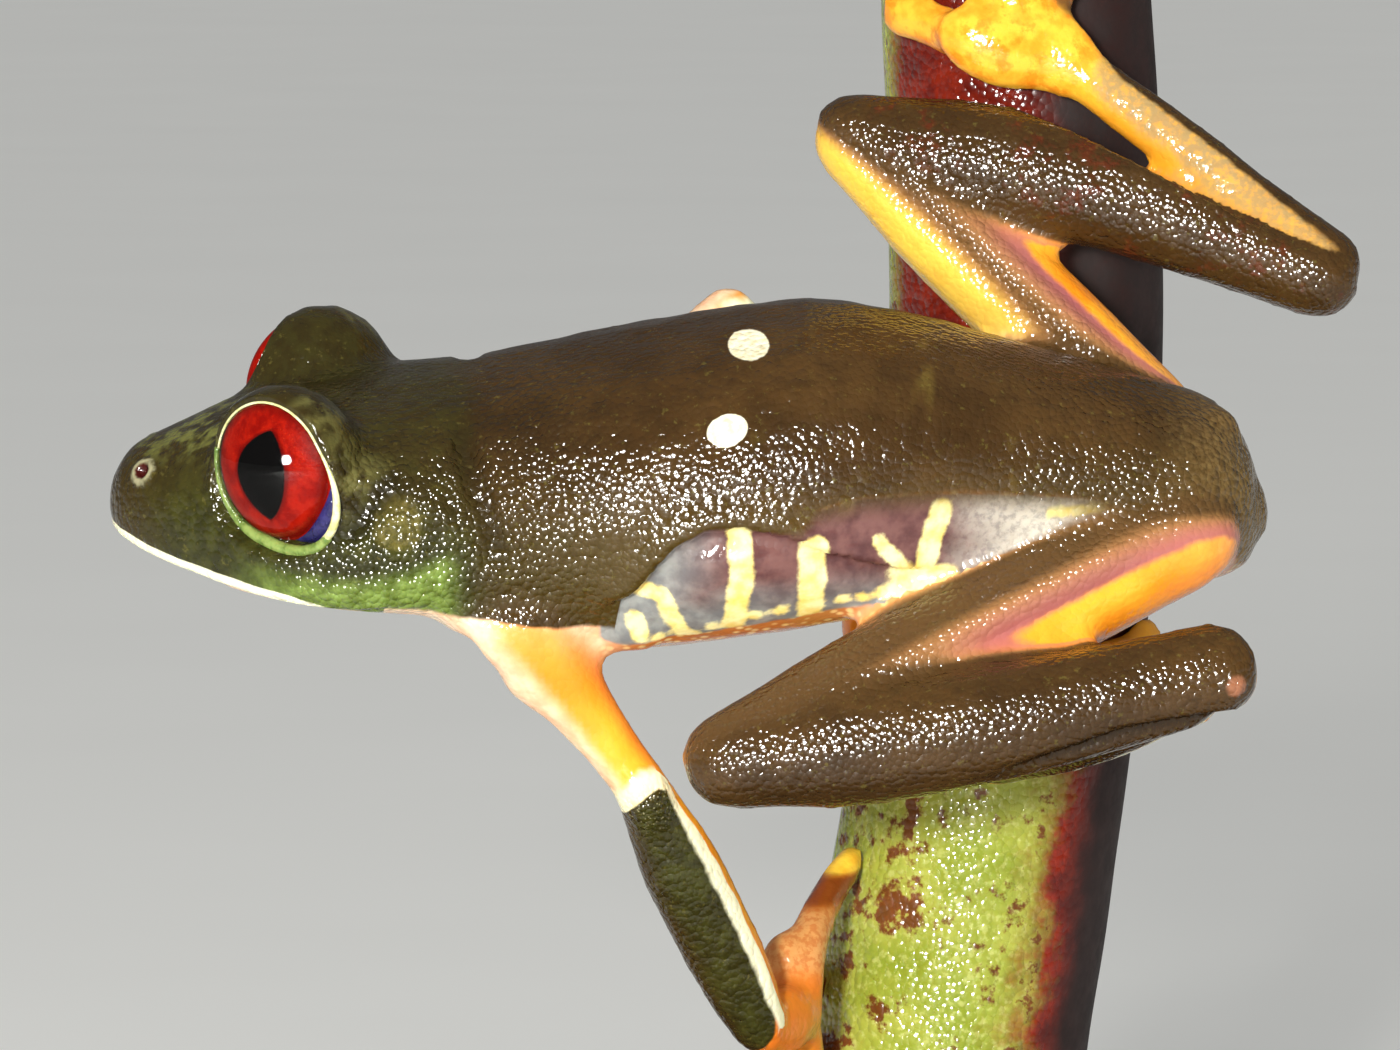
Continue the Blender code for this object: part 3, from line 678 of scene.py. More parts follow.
def opening_at(angle):
    return OPENING + CORNER_REACH * hump(turned_by(angle, CORNER), CORNER_WIDTH)


def eye_chart(word):
    """rearward, upward and outward distances of the skin from an eye's middle."""
    centre, rearward, upward, gaze = (np.array(v) for v in eyes[word])
    offset = skin_points - centre
    return offset @ rearward, offset @ upward, offset @ gaze


def dish_ceiling(word, radius, angle):
    """How far out the skin may lie round an eye: under the ball within, a slope around."""
    opening = opening_at(angle)
    curve = np.sqrt(np.clip(1 - (radius / BALL_RADIUS) ** 2, 0, 1))
    under_ball = BALL_OUT[word] + BALL_DEPTH * curve - 0.45
    inside = fall(radius, opening - 0.18, opening + 0.02)
    cut_back = hump(turned_by(angle, UPPER_FRONT), CUT_BACK_WIDTH) if word == "right" else 0.0
    slope = 3.4 - 4.5 * cut_back
    around = seat_out(word, angle) + slope * rise(radius, opening + 0.25, opening + 1.4)
    around += 4.0 * cut_back * rise(radius, opening + 1.5, opening + 2.2)
    return under_ball * inside + around * (1 - inside)


back_line = [(r * math.cos(math.radians(a)), r * math.sin(math.radians(a))) for r, a in BULGE_BACK]
brow_line = [(x * 0.80, y * 0.80) for x, y in back_line]
bulge, bulge_crease = np.zeros(len(skin_points)), np.zeros(len(skin_points))
for word in SIDES:
    rear, high, out = eye_chart(word)
    near_eye = rise(out, -2.2, -1.2) * (np.hypot(rear, high) < 8)
    back_far = from_line(rear, high, back_line)[0]
    crease = hump(back_far, 0.95) * near_eye
    brow = hump(from_line(rear, high, brow_line)[0], 1.0) * near_eye
    bulge_crease = np.maximum(bulge_crease, hump(back_far, 1.35) * near_eye)
    bulge = np.maximum(bulge, brow)
    skin_points += np.outer(0.30 * brow - 0.26 * crease, np.array(eyes[word][3]))
    rear, high, out = eye_chart(word)
    radius, angle = np.hypot(rear, high), np.degrees(np.arctan2(high, rear))
    within = (out > -2.5) & (radius < opening_at(angle) + 2.2)
    over = np.where(within, np.maximum(out - dish_ceiling(word, radius, angle), 0.0), 0.0)
    skin_points -= np.outer(over, np.array(eyes[word][3]))
for vert, point in zip(flesh.verts, skin_points):
    vert.co = point
bmesh.ops.recalc_face_normals(flesh, faces=flesh.faces)
# painted shade: the creases behind the eye bulges, of the neck and over the shin, to be darkened in
# the skin's colour
shade = np.maximum(np.maximum(bulge_crease, neck_crease * 0.6), shin_fold * 1.1)
print("eye dishes sunk")

# %% [markdown]
# ## Markings
# The markings are stored as smooth measures on the skin, most of them a distance in
# millimetres that is above zero inside a marking. The skin's shader cuts them at zero, so
# their edges stay crisp however coarse the mesh is.
# %% The dark skin of the back and limbs
DARK_EDGE = [(-1.0, -1.8), (3.5, -2.65), (9.7, -3.6), (13.0, -3.8), (15.6, -3.5), (17.6, -3.9),
             (21.0, -4.0), (23.4, -3.5), (24.0, -2.6), (25.2, -1.7), (26.0, -0.6), (27.1, 0.8),
             (28.6, 1.75), (30.3, 1.85), (33.0, 1.5), (33.8, 2.3), (36.0, 2.7), (40.0, 2.5),
             (44.5, 1.9), (47.5, 1.5), (49.5, 0.6), (51.0, -1.2), (53.0, -2.6), (56.0, -4.5)]
BELLY_EDGE = [(20.0, -3.4), (24.8, -4.9), (27.7, -4.5), (32.6, -3.5), (36.4, -2.8), (42.0, -2.2),
              (50.0, -2.5), (56.0, -4.5)]

UNDERARM_HALF = -20.0                      # degrees; the upper arm has no dark strip
SHOULDER_EDGE = [(-25.3, 45.9), (-21.4, 45.3), (-18.4, 44.9), (-16.5, 44.8), (-14.5, 44.7),
                 (-12.0, 44.4)]            # x and z

dark_body = up - height_of(DARK_EDGE, behind)
dark = on_body * np.clip(dark_body, -3, 3)
for name, (_, radius, angle) in charts.items():
    half = LIMBS[name][3] if "upper_arm" not in name else UNDERARM_HALF
    dark += share[name] * np.clip(np.radians(half - np.abs(angle)) * radius, -3, 3)
for word in SIDES:
    dark += (share[f"hand_{word}"] + share[f"foot_{word}"]) * -2.0
over_shoulder = skin_z - height_of(SHOULDER_EDGE, skin_x) + 0.25 * wander
at_shoulder = (skin_y < -5) & (skin_x > -24.5) & (skin_x < -13.5)
dark = np.where(at_shoulder, np.clip(over_shoulder, -3, 3), dark)
print("dark skin on", round(float((dark > 0).mean()) * 100), "% of the points")

# %% Cream lines: the lip, the elbow band, and the edges of forearm and tarsus
LIP_HALF = [(-1.0, 0.22), (1.0, 0.35), (8.5, 0.35), (10.0, 0.16), (11.2, -0.12), (60.0, -1.0)]
LINE_HALF = {"forearm": 0.50, "tarsus": 0.22}
LINE_SIDE = {"forearm": 1, "tarsus": -1}
waver = bumps(skin_points, 1.1)
lip_offset = up - height_of(LIP, behind)
cream = np.where(share["head"] > 0.5, height_of(LIP_HALF, behind) - np.abs(lip_offset), -1.0)
for name, (place, radius, angle) in charts.items():
    part, word = name.rsplit("_", 1)
    half = LIMBS[name][3]
    if part in LINE_HALF:
        width = LINE_HALF[part] * (0.72 + 0.28 * rise(place, 1.0, 6.0))
        beyond = np.radians(angle * LINE_SIDE[part] - half) * radius + 0.16 * waver
        line = np.minimum(width - beyond, (width * 0.7 + beyond) * 0.3)
        lined = (share[name] > 0.4) & (name != "tarsus_right")
        cream = np.where(lined, np.maximum(cream, line), cream)
    if part == "forearm":
        near_elbow = (share[name] + share[f"upper_arm_{word}"] > 0.7) & (np.abs(place) < 2.2)
        crest = place + 0.75 * hump(angle + LIMBS[name][2] - 14, 90) - 0.65 + 0.15 * waver
        strip = np.radians(half - np.abs(angle)) * radius
        dark = np.where(near_elbow, np.clip(np.minimum(crest, strip), -3, 3), dark)
        band = np.minimum(0.16 - crest, (crest + 1.0) * 0.14)
        cream = np.where(near_elbow & (np.abs(angle) < half + 20), np.maximum(cream, band), cream)
print("cream lines on", round(float((cream > 0).mean()) * 100, 1), "% of the points")

# %% White spots on the back
SPOTS = [(Vector((-7.3, -11.9, 58.0)), 0.96, 1.55), (Vector((-8.3, -15.9, 54.3)), 1.00, 0.86)]
SPOT_SLANT = math.radians(24)
spot = np.full(len(skin_points), -2.0)
for centre, half_long, half_wide in SPOTS:
    offset = skin_points - np.array(centre)
    along_spot = offset @ np.array((math.cos(SPOT_SLANT), 0, math.sin(SPOT_SLANT)))
    across = np.sqrt(np.maximum((offset**2).sum(1) - along_spot**2, 0))
    size = np.hypot(along_spot / half_long, across / half_wide)
    spot = np.maximum(spot, (1 - size) * 0.8)
print("white spots:", len(SPOTS))

# %% The barred flank
BARS = [                                   # each a line and its half width
    ([(25.2, -3.3), (25.5, -4.3)], 0.42), ([(25.3, -1.6), (26.5, -1.9), (27.5, -4.3)], 0.42),
    ([(30.1, 1.6), (30.3, -0.5), (29.9, -3.6)], 0.56), ([(33.7, 0.9), (33.5, -3.0)], 0.62),
    ([(39.7, 2.2), (38.9, -0.5), (37.8, -1.9)], 0.50), ([(47.4, 1.5), (44.9, 1.4)], 0.26),
    ([(36.7, 0.9), (37.5, -0.1), (38.2, -1.0)], 0.30),
]
BEADS = [                                  # behind, up and half width
    (25.4, -4.2, 0.34), (26.3, -4.5, 0.30), (27.9, -4.4, 0.38), (28.9, -3.8, 0.26),
    (30.8, -3.1, 0.34), (32.1, -2.8, 0.36), (33.2, -2.5, 0.28), (35.0, -2.4, 0.30),
    (36.0, -2.3, 0.34), (36.9, -2.1, 0.30),
]
PATCH = (39.1, -1.3, 1.6, 0.58)            # behind, up, half length, half height
FLANK_FRONT, FLANK_REAR = 23.6, 48.0
bars = np.full(len(skin_points), -2.0)
for line, half in BARS:
    bars = np.maximum(bars, half - from_line(behind, up, line)[0])
for bead_behind, bead_up, half in BEADS:
    bars = np.maximum(bars, half - np.hypot((behind - bead_behind) * 0.8, up - bead_up))
patch_size = np.hypot((behind - PATCH[0]) / PATCH[2], (up - PATCH[1]) / PATCH[3])
bars = np.maximum(bars, (1 - patch_size) * PATCH[3])
flank = np.minimum(up - height_of(BELLY_EDGE, behind), -dark_body + 0.4)
flank = np.minimum(flank, np.minimum(behind - FLANK_FRONT, FLANK_REAR - behind))
flank = np.where(on_body > 0.4, flank, -1.0)
print("flank on", round(float((flank > 0).mean()) * 100, 1), "% of the points")

# %% Bright skin: orange limbs, pale chest, red and green tints, and painted shade on the upper arm's rear
THUMB_BASE, THUMB_JOINT, THUMB_TIP = (25.6, 27.0), (28.9, 29.5), (30.3, 30.7)     # in z

orange = 1 - on_body
for word in SIDES:
    arm = f"upper_arm_{word}"
    orange -= share[arm] * 0.75 * rise(62 - np.abs(charts[arm][2]), -16, 16)
left_hand = share["hand_left"]
thumb_tip = rise(skin_z, *THUMB_TIP)
joint = left_hand * (rise(skin_z, *THUMB_JOINT) * (1 - thumb_tip))
blush = left_hand * (rise(skin_z, *THUMB_BASE) * fall(skin_z, *THUMB_JOINT))
red = 0.55 * left_hand * (1 - thumb_tip) + 0.6 * share["hand_right"]
red += 0.55 * share["forearm_left"] * rise(charts["forearm_left"][0], 6, 13)
# painted shade: the upper arm's rear side, turned away from the light, is made deep orange-red
arm_angle = turned_by(charts["upper_arm_left"][2], -LIMBS["upper_arm_left"][2])
red += 0.55 * share["upper_arm_left"] * rise(arm_angle, 20, 75)
upper_side = {word: side * charts[f"thigh_{word}"][2] for word, side in SIDES.items()}
rosy = sum(share[f"thigh_{w}"] * rise(-upper_side[w], -12, 12) for w in SIDES)
tan = share["thigh_left"] + share["thigh_right"]
yellow = share["foot_left"] + share["foot_right"] + 0.3 * share["tarsus_right"]
yellow += 1.2 * left_hand * thumb_tip
yellow += 0.8 * share["thigh_right"] * rise(upper_side["right"], -5, 20)
yellow *= 1 - share["foot_left"] * rise(skin_x, 6, 9)
ivory = share["tarsus_right"] * rise(dark + 0.3 * waver, -1.7, -0.9)
beyond_sole = skin_x - 6.5 - (74.4 - skin_z) * 1.17 + 0.3 * waver
sole_edge = (share["foot_right"] + share["tarsus_right"]) * rise(beyond_sole, -0.1, 0.7)
green = share["head"] * (0.45 + 0.55 * rise(-up, -2.6, 0.8)) * rise(behind, -1.0, 5.0)
green += share["trunk"] * 0.30 * fall(behind, 18, 34) * rise(-up, -4.5, 1.5)
green += share["forearm_left"] * rise(charts["forearm_left"][2], -70, 30)
jaw_green = share["head"] * rise(behind, 5.5, 9.5) * rise(-lip_offset, -2.0, -0.6)
jaw_green *= fall(behind, 15.8, 17.4)
canthus = hump(from_line(behind, up, CANTHUS)[0], 1.1) * share["head"]
print("tints ready")

# %% Write the measures on the skin
skin = add_piece("skin", flesh)
store(skin, dark=dark, cream=cream, spot=spot, bars=bars, flank=flank, orange=orange,
      yellow=yellow, red=red, rosy=rosy, tan=tan, joint=joint, blush=blush, ivory=ivory,
      sole_edge=sole_edge, green=green, jaw_green=jaw_green, behind=behind, up=up,
      nostril=nostril_far, ear=np.where(ear_side > 0.5, ear_far, 9.0), wart=wart_far,
      on_body=on_body, shin=share["shank_right"], shade=shade, bulge=bulge, elbow=elbow,
      canthus=canthus, far_foot=share["foot_right"])
print("skin:", len(skin.data.vertices), "points")

# %% [markdown]
# ## The finish of the skin
# Frog skin is wet and finely granular: each granule is a low dome with its own highlight. Two
# sizes of dome are mixed, and they fade on the bright, thin skin of the arms and feet.
# %% Skin colours
GRAIN, TINY_GRAIN, SKIN_RELIEF = 0.32, 0.19, 0.082       # mm


def back_paint(p, m, mottle, fine):
    """The dark skin: olive-brown, greener and darker in front, brown on the thighs, with painted
    highlights as pale specks on the elbow.
    """
    behind, up, body = m("behind"), m("up"), m("on_body")
    front = p.step(behind, 10.0, 30.0, 1.0, 0.0) * body
    tall_place = p.node("CombineXYZ", {0: behind * MM, 1: up * (MM * 0.3)})
    bar_zone = p.step(behind, 29.0, 32.0) * p.step(behind, 42.0, 46.0, 1.0, 0.0)
    bar = p.step(p.clouds(1.9, 2, 0.5, tall_place), 0.56, 0.66) * bar_zone * p.step(up, 1.0, 3.0)
    bar = bar * p.step(p.clouds(1.3, 3), 0.4, 0.6)
    rust = p.step(mottle * 0.5 + p.clouds(2.6, 2) * 0.5, 0.52, 0.60) * m("shin")
    back = p.cover(
        p.turn(p.clouds(5.0, 3), 0.35, 0.65, (56, 38, 17), (70, 49, 23)),
        (p.step(mottle, 0.45, 0.75) * 0.45, (44, 30, 14)),
        (p.step(up, 5.0, 0.0) * body * 0.5, (84, 70, 28)),
        (front * 0.6, (30, 24, 9)),
        (bar * body * 0.42, (112, 94, 40)),
        (p.step(m("green"), 0.0, 1.0) * 0.85,
         p.turn(mottle, 0.4, 0.65, (40, 42, 14), (58, 60, 22))),
        (p.step(fine, 0.60, 0.72) * 0.36, (106, 98, 44)),
        (m("bulge") * p.step(mottle, 0.35, 0.62) * 0.6, (116, 112, 62)),
        (m("canthus") * p.step(mottle, 0.42, 0.62) * 0.6, (124, 126, 62)),
        (m("jaw_green") * 0.9, p.turn(mottle, 0.35, 0.7, (92, 110, 42), (124, 148, 68))),
        # painted highlights: pale specks on the elbow's granules stand in for their glints
        (m("elbow") * p.step(p.grains(TINY_GRAIN), 0.34, 0.10) * 0.7, (176, 170, 130)),
        (rust * p.step(fine, 0.35, 0.6) * 0.38, (104, 32, 18)),
        (p.step(behind, 49.0, 54.0) * body * p.step(fine, 0.35, 0.6, 0.2, 0.6), (124, 100, 60)))
    return p.mix(m("tan"), back, p.turn(m("dark"), 0.1, 1.1, (158, 112, 68), (86, 62, 34)))


def bright_paint(p, m, blotch, mottle, fine):
    """The bright skin: granular belly, pale throat, and limbs from ivory to orange."""
    yellow, far_foot = m("yellow").least(1.0), m("far_foot")
    belly = p.turn(p.grains(0.55), 0.15, 0.5, (244, 206, 136), (196, 118, 54))
    throat = p.turn(mottle, 0.3, 0.7, (246, 222, 190), (236, 190, 150))
    belly = p.turn(m("behind"), 22.0, 25.0, throat, belly)
    golden = p.turn(mottle, 0.35, 0.7, p.mix(far_foot, (248, 210, 70), (240, 178, 54)),
                    p.mix(far_foot, (244, 190, 54), (230, 146, 34)))
    # painted shade: darker orange patches on the yellow skin stand in for the shade in its folds
    painted_fold_shade = p.step(p.clouds(1.6, 5, 0.62), 0.50, 0.60) * yellow
    bright = p.cover(
        p.turn(blotch, 0.3, 0.7, (232, 136, 26), (242, 168, 48)),
        (yellow, p.mix(m("tan"), golden, (238, 202, 82))),
        (m("red") * 0.9, (206, 84, 40)),
        (m("blush") * 0.8, p.turn(fine, 0.4, 0.6, (190, 126, 74), (206, 158, 98))),
        (m("joint") * 0.85, (104, 44, 20)),
        (m("ivory") * p.step(fine, 0.32, 0.58, 0.55, 1.0), (158, 132, 86)),
        (m("sole_edge") * 0.9, (84, 56, 34)),
        (painted_fold_shade * (0.15 + far_foot * 0.55), (222, 118, 18)))
    pale = p.turn(mottle, 0.3, 0.7, (244, 226, 196), (232, 190, 160))
    return p.mix(m("on_body"), p.mix(m("orange"), pale, bright), belly)


def flank_paint(p, m, blotch, mottle, fine):
    """The flank: violet-brown and grey-blue, with ragged cream bars."""
    low = p.step(m("up") + (blotch - 0.5) * 3.0, -3.0, -0.6, 1.0, 0.0)
    rear = p.step(m("behind") + (blotch - 0.5) * 4.0, 39.5, 44.5)
    front = p.step(m("behind") + (blotch - 0.5) * 3.0, 26.0, 30.0, 1.0, 0.0)
    ragged = (mottle - 0.5) * 0.42 + (fine - 0.5) * 0.2
    return p.cover(
        p.turn(mottle, 0.3, 0.7, (82, 50, 50), (112, 76, 72)),
        (low.most(rear).most(front) * 0.9,
         p.turn(mottle, 0.3, 0.7, (116, 118, 118), (146, 150, 146))),
        (rear * p.step(fine, 0.3, 0.6, 0.35, 0.85), (214, 204, 186)),
        (p.step(m("bars") + ragged, -0.14, 0.12),
         p.turn(mottle, 0.3, 0.7, (236, 210, 112), (250, 240, 176))))


def skin_paint():
    p = Paint("wet_skin", IOR=1.42, Specular_IOR_Level=0.40, Subsurface_Weight=0.12,
              Subsurface_Scale=0.0006, Subsurface_Radius=(1.0, 0.45, 0.25))
    m = p.measure
    blotch, mottle, fine = p.clouds(5.0, 3), p.clouds(0.9, 3), p.clouds(0.35, 3, 0.6)
    behind, body, dark, nostril = m("behind"), m("on_body"), m("dark"), m("nostril")
    tan, elbow, shade = m("tan"), m("elbow"), m("shade").least(1.0)
    wobble = (mottle - 0.5) * 0.35
    soft = (p.step(behind, 31.0, 35.0) * body).most(tan)
    ear = p.step(m("ear") + wobble, 1.0, 1.4, 1.0, 0.0)
    p.set("Base Color", p.cover(
        bright_paint(p, m, blotch, mottle, fine),
        (p.step(m("flank") + wobble, -0.12, 0.12), flank_paint(p, m, blotch, mottle, fine)),
        (p.step(dark + wobble, -1.15, -0.70) * m("rosy") * 0.9, (150, 84, 96)),
        (p.step(dark + wobble, soft * -0.7 - 0.12, soft * 0.5 + 0.14),
         back_paint(p, m, mottle, fine)),
        (p.step(m("cream") + wobble * 0.25, -0.03, 0.06),
         p.mix(elbow, (246, 243, 206), (240, 226, 166))),
        (p.step(m("spot") + wobble * 0.4, -0.02, 0.05),
         p.turn(fine, 0.35, 0.6, (226, 214, 172), (240, 234, 206))),
        (ear * p.step(fine, 0.35, 0.6, 0.12, 0.36), (140, 128, 66)),
        (p.step(nostril + (fine - 0.5) * 0.5, 0.52, 0.80, 0.6, 0.0), (176, 172, 136)),
        # painted shade: the nostrils' openings are painted near-black red for the shade inside them
        (p.step(nostril + (fine - 0.5) * 0.2, 0.34, 0.50, 1.0, 0.0), (58, 14, 10)),
        (p.step(m("wart"), 0.35, 0.65, 1.0, 0.0), (140, 92, 66)),
        # painted shade: the creases are darkened towards near-black brown
        (shade * 0.6, (16, 11, 5))))

    cells, tiny = p.grains(GRAIN), p.grains(TINY_GRAIN)
    dome, small = cells * cells * -1.5, tiny * tiny * -1.5
    granular = p.step(dark, -0.6, 0.4, 0.30, 1.0) * (1 - shade * 0.3)
    cheek = p.step(behind, 6.0, 10.0) * body
    snout = p.step(behind, 6.0, 10.0, 1.0, 0.0) * body
    rear_back = p.step(behind, 19.0, 26.0) * p.step(behind, 42.0, 47.0, 1.0, 0.25) * body
    crown = p.step(behind, 20.0, 16.0) * p.step(m("up"), 3.5, 5.5) * body
    steep = (0.64 + cheek * 0.50 - rear_back * 0.62 - snout * 0.12 - crown * 0.85
             + elbow * 0.9 + tan * 0.3)
    p.relief(dome * granular * steep + small * granular * 0.12 + mottle * 0.12, SKIN_RELIEF)
    p.set("Roughness", p.step(p.clouds(1.2, 3), 0.3, 0.7, 0.085, 0.16))
    return p.material


hand_over(skin, skin_paint(), "skin", *FLESH)

# %% [markdown]
# ## Eyes
# Each eye is a flattened ball with a scarlet iris and an upright pupil pointed at both ends,
# under a clear, more bulging cornea. The pattern is worked out from the place on the ball.
# %% Eyeballs
EYE_RINGS, EYE_SPOKES = 48, 96
CORNEA_RADIUS, CORNEA_DEPTH = 3.50, 3.1
PUPIL_HALF_WIDTH, PUPIL_HALF_HEIGHT, PUPIL_BOW = 1.46, 2.20, 0.40
PUPIL_BLACK = (0.0015, 0.0012, 0.0012, 1.0)              # linear, unlike the other colours


def eye_turn(word):
    """Matrix from an eye's own frame to the model, in millimetres."""
    centre, rearward, upward, gaze = eyes[word]
    turn = Matrix((rearward, upward, gaze)).transposed().to_4x4()
    return Matrix.Translation(centre) @ turn


def eyeball(name, word, radius, depth, out):
    """A flattened ball in an eye's frame, which remembers its own measures."""
    bm = bmesh.new()
    bmesh.ops.create_uvsphere(bm, u_segments=EYE_SPOKES, v_segments=EYE_RINGS, radius=1.0)
    bmesh.ops.scale(bm, vec=(radius, radius, depth), verts=bm.verts)
    bmesh.ops.translate(bm, vec=(0, 0, out), verts=bm.verts)
    own = np.array([v.co for v in bm.verts])
    bmesh.ops.transform(bm, matrix=eye_turn(word), verts=bm.verts)
    bmesh.ops.recalc_face_normals(bm, faces=bm.faces)
    ball = add_piece(f"{name}_{word}", bm)
    store(ball, across=own[:, 0], high=own[:, 1])
    return ball


def iris_paint():
    p = Paint("iris", Specular_IOR_Level=0.04)
    across, high = p.measure("across"), p.measure("high")
    tall = 1 - (high / PUPIL_HALF_HEIGHT) * (high / PUPIL_HALF_HEIGHT)
    off_middle = across - (1 - tall) * PUPIL_BOW
    radius = (across ** 2 + high * high) ** 0.5
    swirl, fine, fleck = p.clouds(0.7, 4, 0.65), p.clouds(0.16, 3, 0.6), p.grains(0.17)
    inside = (tall.most(0.0) ** 0.8 + tall.least(0.0)) * PUPIL_HALF_WIDTH - off_middle.size()
    red = p.cover(
        p.turn(swirl, 0.35, 0.68, (160, 14, 4), (206, 32, 10)),
        (p.step(fleck, 0.02, 0.30, 0.55, 0.0) * p.step(swirl, 0.4, 0.6), (238, 84, 40)),
        (p.step(fine, 0.56, 0.72) * 0.4, (120, 2, 2)),
        (p.step(radius, 2.75, 3.25) * 0.75, (110, 8, 4)),
        (p.step(inside, -0.34, -0.02) * 0.7, (92, 2, 2)))
    edge = inside + (fine - 0.5) * 0.10
    p.set("Base Color", p.mix(p.step(edge, -0.03, 0.04), red, PUPIL_BLACK))
    p.set("Roughness", p.step(edge, -0.03, 0.04, 0.42, 0.75))
    p.relief(p.step(edge, -0.25, 0.1, 1.0, 0.0) * (swirl + fine * 0.4), 0.05)
    return p.material


def cornea_paint():
    p = Paint("clear_cornea", IOR=1.45, Alpha=0.30, Base_Color=(0.0, 0.0, 0.0, 1.0))
    p.set("Roughness", p.step(p.clouds(0.8, 2), 0.3, 0.7, 0.04, 0.06))
    return p.material


iris, cornea = iris_paint(), cornea_paint()
for word in SIDES:
    ball = eyeball("eyeball", word, BALL_RADIUS, BALL_DEPTH, BALL_OUT[word])
    hand_over(ball, iris, "eye", f"eye_{word}")
    shell = eyeball("cornea", word, CORNEA_RADIUS, CORNEA_DEPTH, 0.0)
    hand_over(shell, cornea, "eye")

# %% [markdown]
# ## Lids
# A thin cream rim runs over the eye, a green one lies under it, and the folded blue inner lid
# shows at the lower rear corner. Each is a small ring spun round the gaze and then shaped.
# %% Lid rims
RIM_STEPS, RIM_SIDES, SPIN_RADIUS = 96, 12, 10
LID_LIFT = 0.03                            # mm from the rims' seat to their middle
INNER_HALF = 62                            # degrees either side of the corner


def rim_piece(name, word, radius_of, out_of, thick_of, start, end):
    """A tube round the gaze from angle start to end, in degrees: 0 rearward, 90 up."""
    bm = bmesh.new()
    bmesh.ops.create_circle(bm, segments=RIM_SIDES, radius=1.0, cap_ends=True)
    bmesh.ops.rotate(bm, cent=(0, 0, 0), verts=bm.verts,
                     matrix=Matrix.Rotation(math.pi / 2, 3, "X"))
    bmesh.ops.translate(bm, vec=(SPIN_RADIUS, 0, 0), verts=bm.verts)
    bmesh.ops.spin(bm, geom=list(bm.verts) + list(bm.edges) + list(bm.faces), axis=(0, 0, 1),
                   cent=(0, 0, 0), steps=RIM_STEPS, angle=math.radians(end - start))
    for vert in bm.verts:
        flat = math.hypot(vert.co.x, vert.co.y)
        angle = start + math.degrees(math.atan2(vert.co.y, vert.co.x)) % 360
        a = math.radians(angle)
        reach = radius_of(angle) + (flat - SPIN_RADIUS) * thick_of(angle)
        vert.co = (math.cos(a) * reach, math.sin(a) * reach,
                   out_of(angle) + vert.co.z * thick_of(angle))
    bmesh.ops.transform(bm, matrix=eye_turn(word), verts=bm.verts)
    bmesh.ops.recalc_face_normals(bm, faces=bm.faces)
    return add_piece(f"{name}_{word}", bm)


def upper_thickness(angle):
    return 0.06 + 0.15 * hump(turned_by(angle, 335), 58)


def lower_thickness(angle):
    return 0.14 + 0.17 * hump(turned_by(angle, 275), 95)


def inner_thickness(angle):
    return 0.05 + 0.58 * hump(turned_by(angle, CORNER), INNER_HALF)


print("lid shape ready: opening", OPENING, "mm")

# %% Lid finishes and pieces
def lid_paint(name, light, dark_tone):
    p = Paint(name, Roughness=0.22, IOR=1.42, Subsurface_Weight=0.1, Subsurface_Scale=0.0004)
    p.set("Base Color", p.turn(p.clouds(0.6, 3), 0.35, 0.7, light, dark_tone))
    p.relief(p.step(p.grains(0.18), 0.05, 0.55, 1.0, 0.0), 0.02)
    return p.material


cream_lid = lid_paint("cream_lid", (236, 234, 184), (196, 196, 128))
green_lid = lid_paint("green_lid", (138, 158, 84), (84, 108, 44))
blue_lid = lid_paint("blue_lid", (30, 28, 78), (52, 46, 104))

for word in SIDES:
    def seat(angle, word=word):
        return seat_out(word, angle) + LID_LIFT

    rims = [
        ("upper_lid", cream_lid, lambda a: opening_at(a) + upper_thickness(a) * 0.7, seat,
         upper_thickness, -40, 176),
        ("lower_lid", green_lid, lambda a: opening_at(a) + lower_thickness(a) * 0.8, seat,
         lower_thickness, 172, 324),
        ("inner_lid", blue_lid, lambda a: (OPENING + opening_at(a)) / 2 - 0.12,
         lambda a: LID_SEAT - 0.64, inner_thickness, CORNER - INNER_HALF, CORNER + INNER_HALF),
    ]
    for name, finish, *shape in rims:
        hand_over(rim_piece(name, word, *shape), finish, "skin")

# %% [markdown]
# ## The stem
# A fleshy green stalk, mottled red-brown and wet, with painted shade on its side away from
# the light. It follows the solid stem's own line and is a little uneven, with its cut ends
# showing a paler pith.
# %% Stem shape
STEM_HEIGHTS = [11.0, 20.7, 32.7, 40.9, 48.5, 58.0, 65.7, 73.4, 86.0]
STEM_ACROSS = [1.2, 2.7, 4.5, 5.6, 6.3, 6.7, 6.5, 6.1, 5.5]
STEM_BACK = 9.0
STEM_LOW, STEM_HIGH = 13.0, 84.0
RADIUS_LOW, RADIUS_HIGH = 7.1, 6.4
STEM_SPOKES, STEM_STEPS = 160, 260
CAP_INSETS = (0.06, 0.14, 0.25, 0.25)      # rings of the cut ends, as shares of the radius
SWELL_OUT, SWELLS, RIBS, RIB_DEPTH = 0.16, 0.14, 9, 0.05


def stem_line(height):
    """Middle of the stem across, and its radius, smoothed over its given heights."""
    near = np.linspace(-4, 4, 9)
    across = np.mean([np.interp(height + n, STEM_HEIGHTS, STEM_ACROSS) for n in near], axis=0)
    climb = (height - STEM_HEIGHTS[0]) / (STEM_HEIGHTS[-1] - STEM_HEIGHTS[0])
    return across, RADIUS_LOW + (RADIUS_HIGH - RADIUS_LOW) * climb


def stem_piece():
    bm = bmesh.new()
    bmesh.ops.create_cone(bm, cap_ends=True, segments=STEM_SPOKES, radius1=1.0, radius2=1.0,
                          depth=1.0)
    bmesh.ops.translate(bm, vec=(0, 0, 0.5), verts=bm.verts)
    upright = [e for e in bm.edges if abs(e.verts[0].co.z - e.verts[1].co.z) > 0.5]
    bmesh.ops.subdivide_edges(bm, edges=upright, cuts=STEM_STEPS - 1)
    for z in (1.0, 0.0):
        cap = [f for f in bm.faces if len(f.verts) > 4 and abs(f.calc_center_median().z - z) < 1e-6]
        for inset in CAP_INSETS:
            bmesh.ops.inset_region(bm, faces=cap, thickness=inset, use_even_offset=True)
    return bm


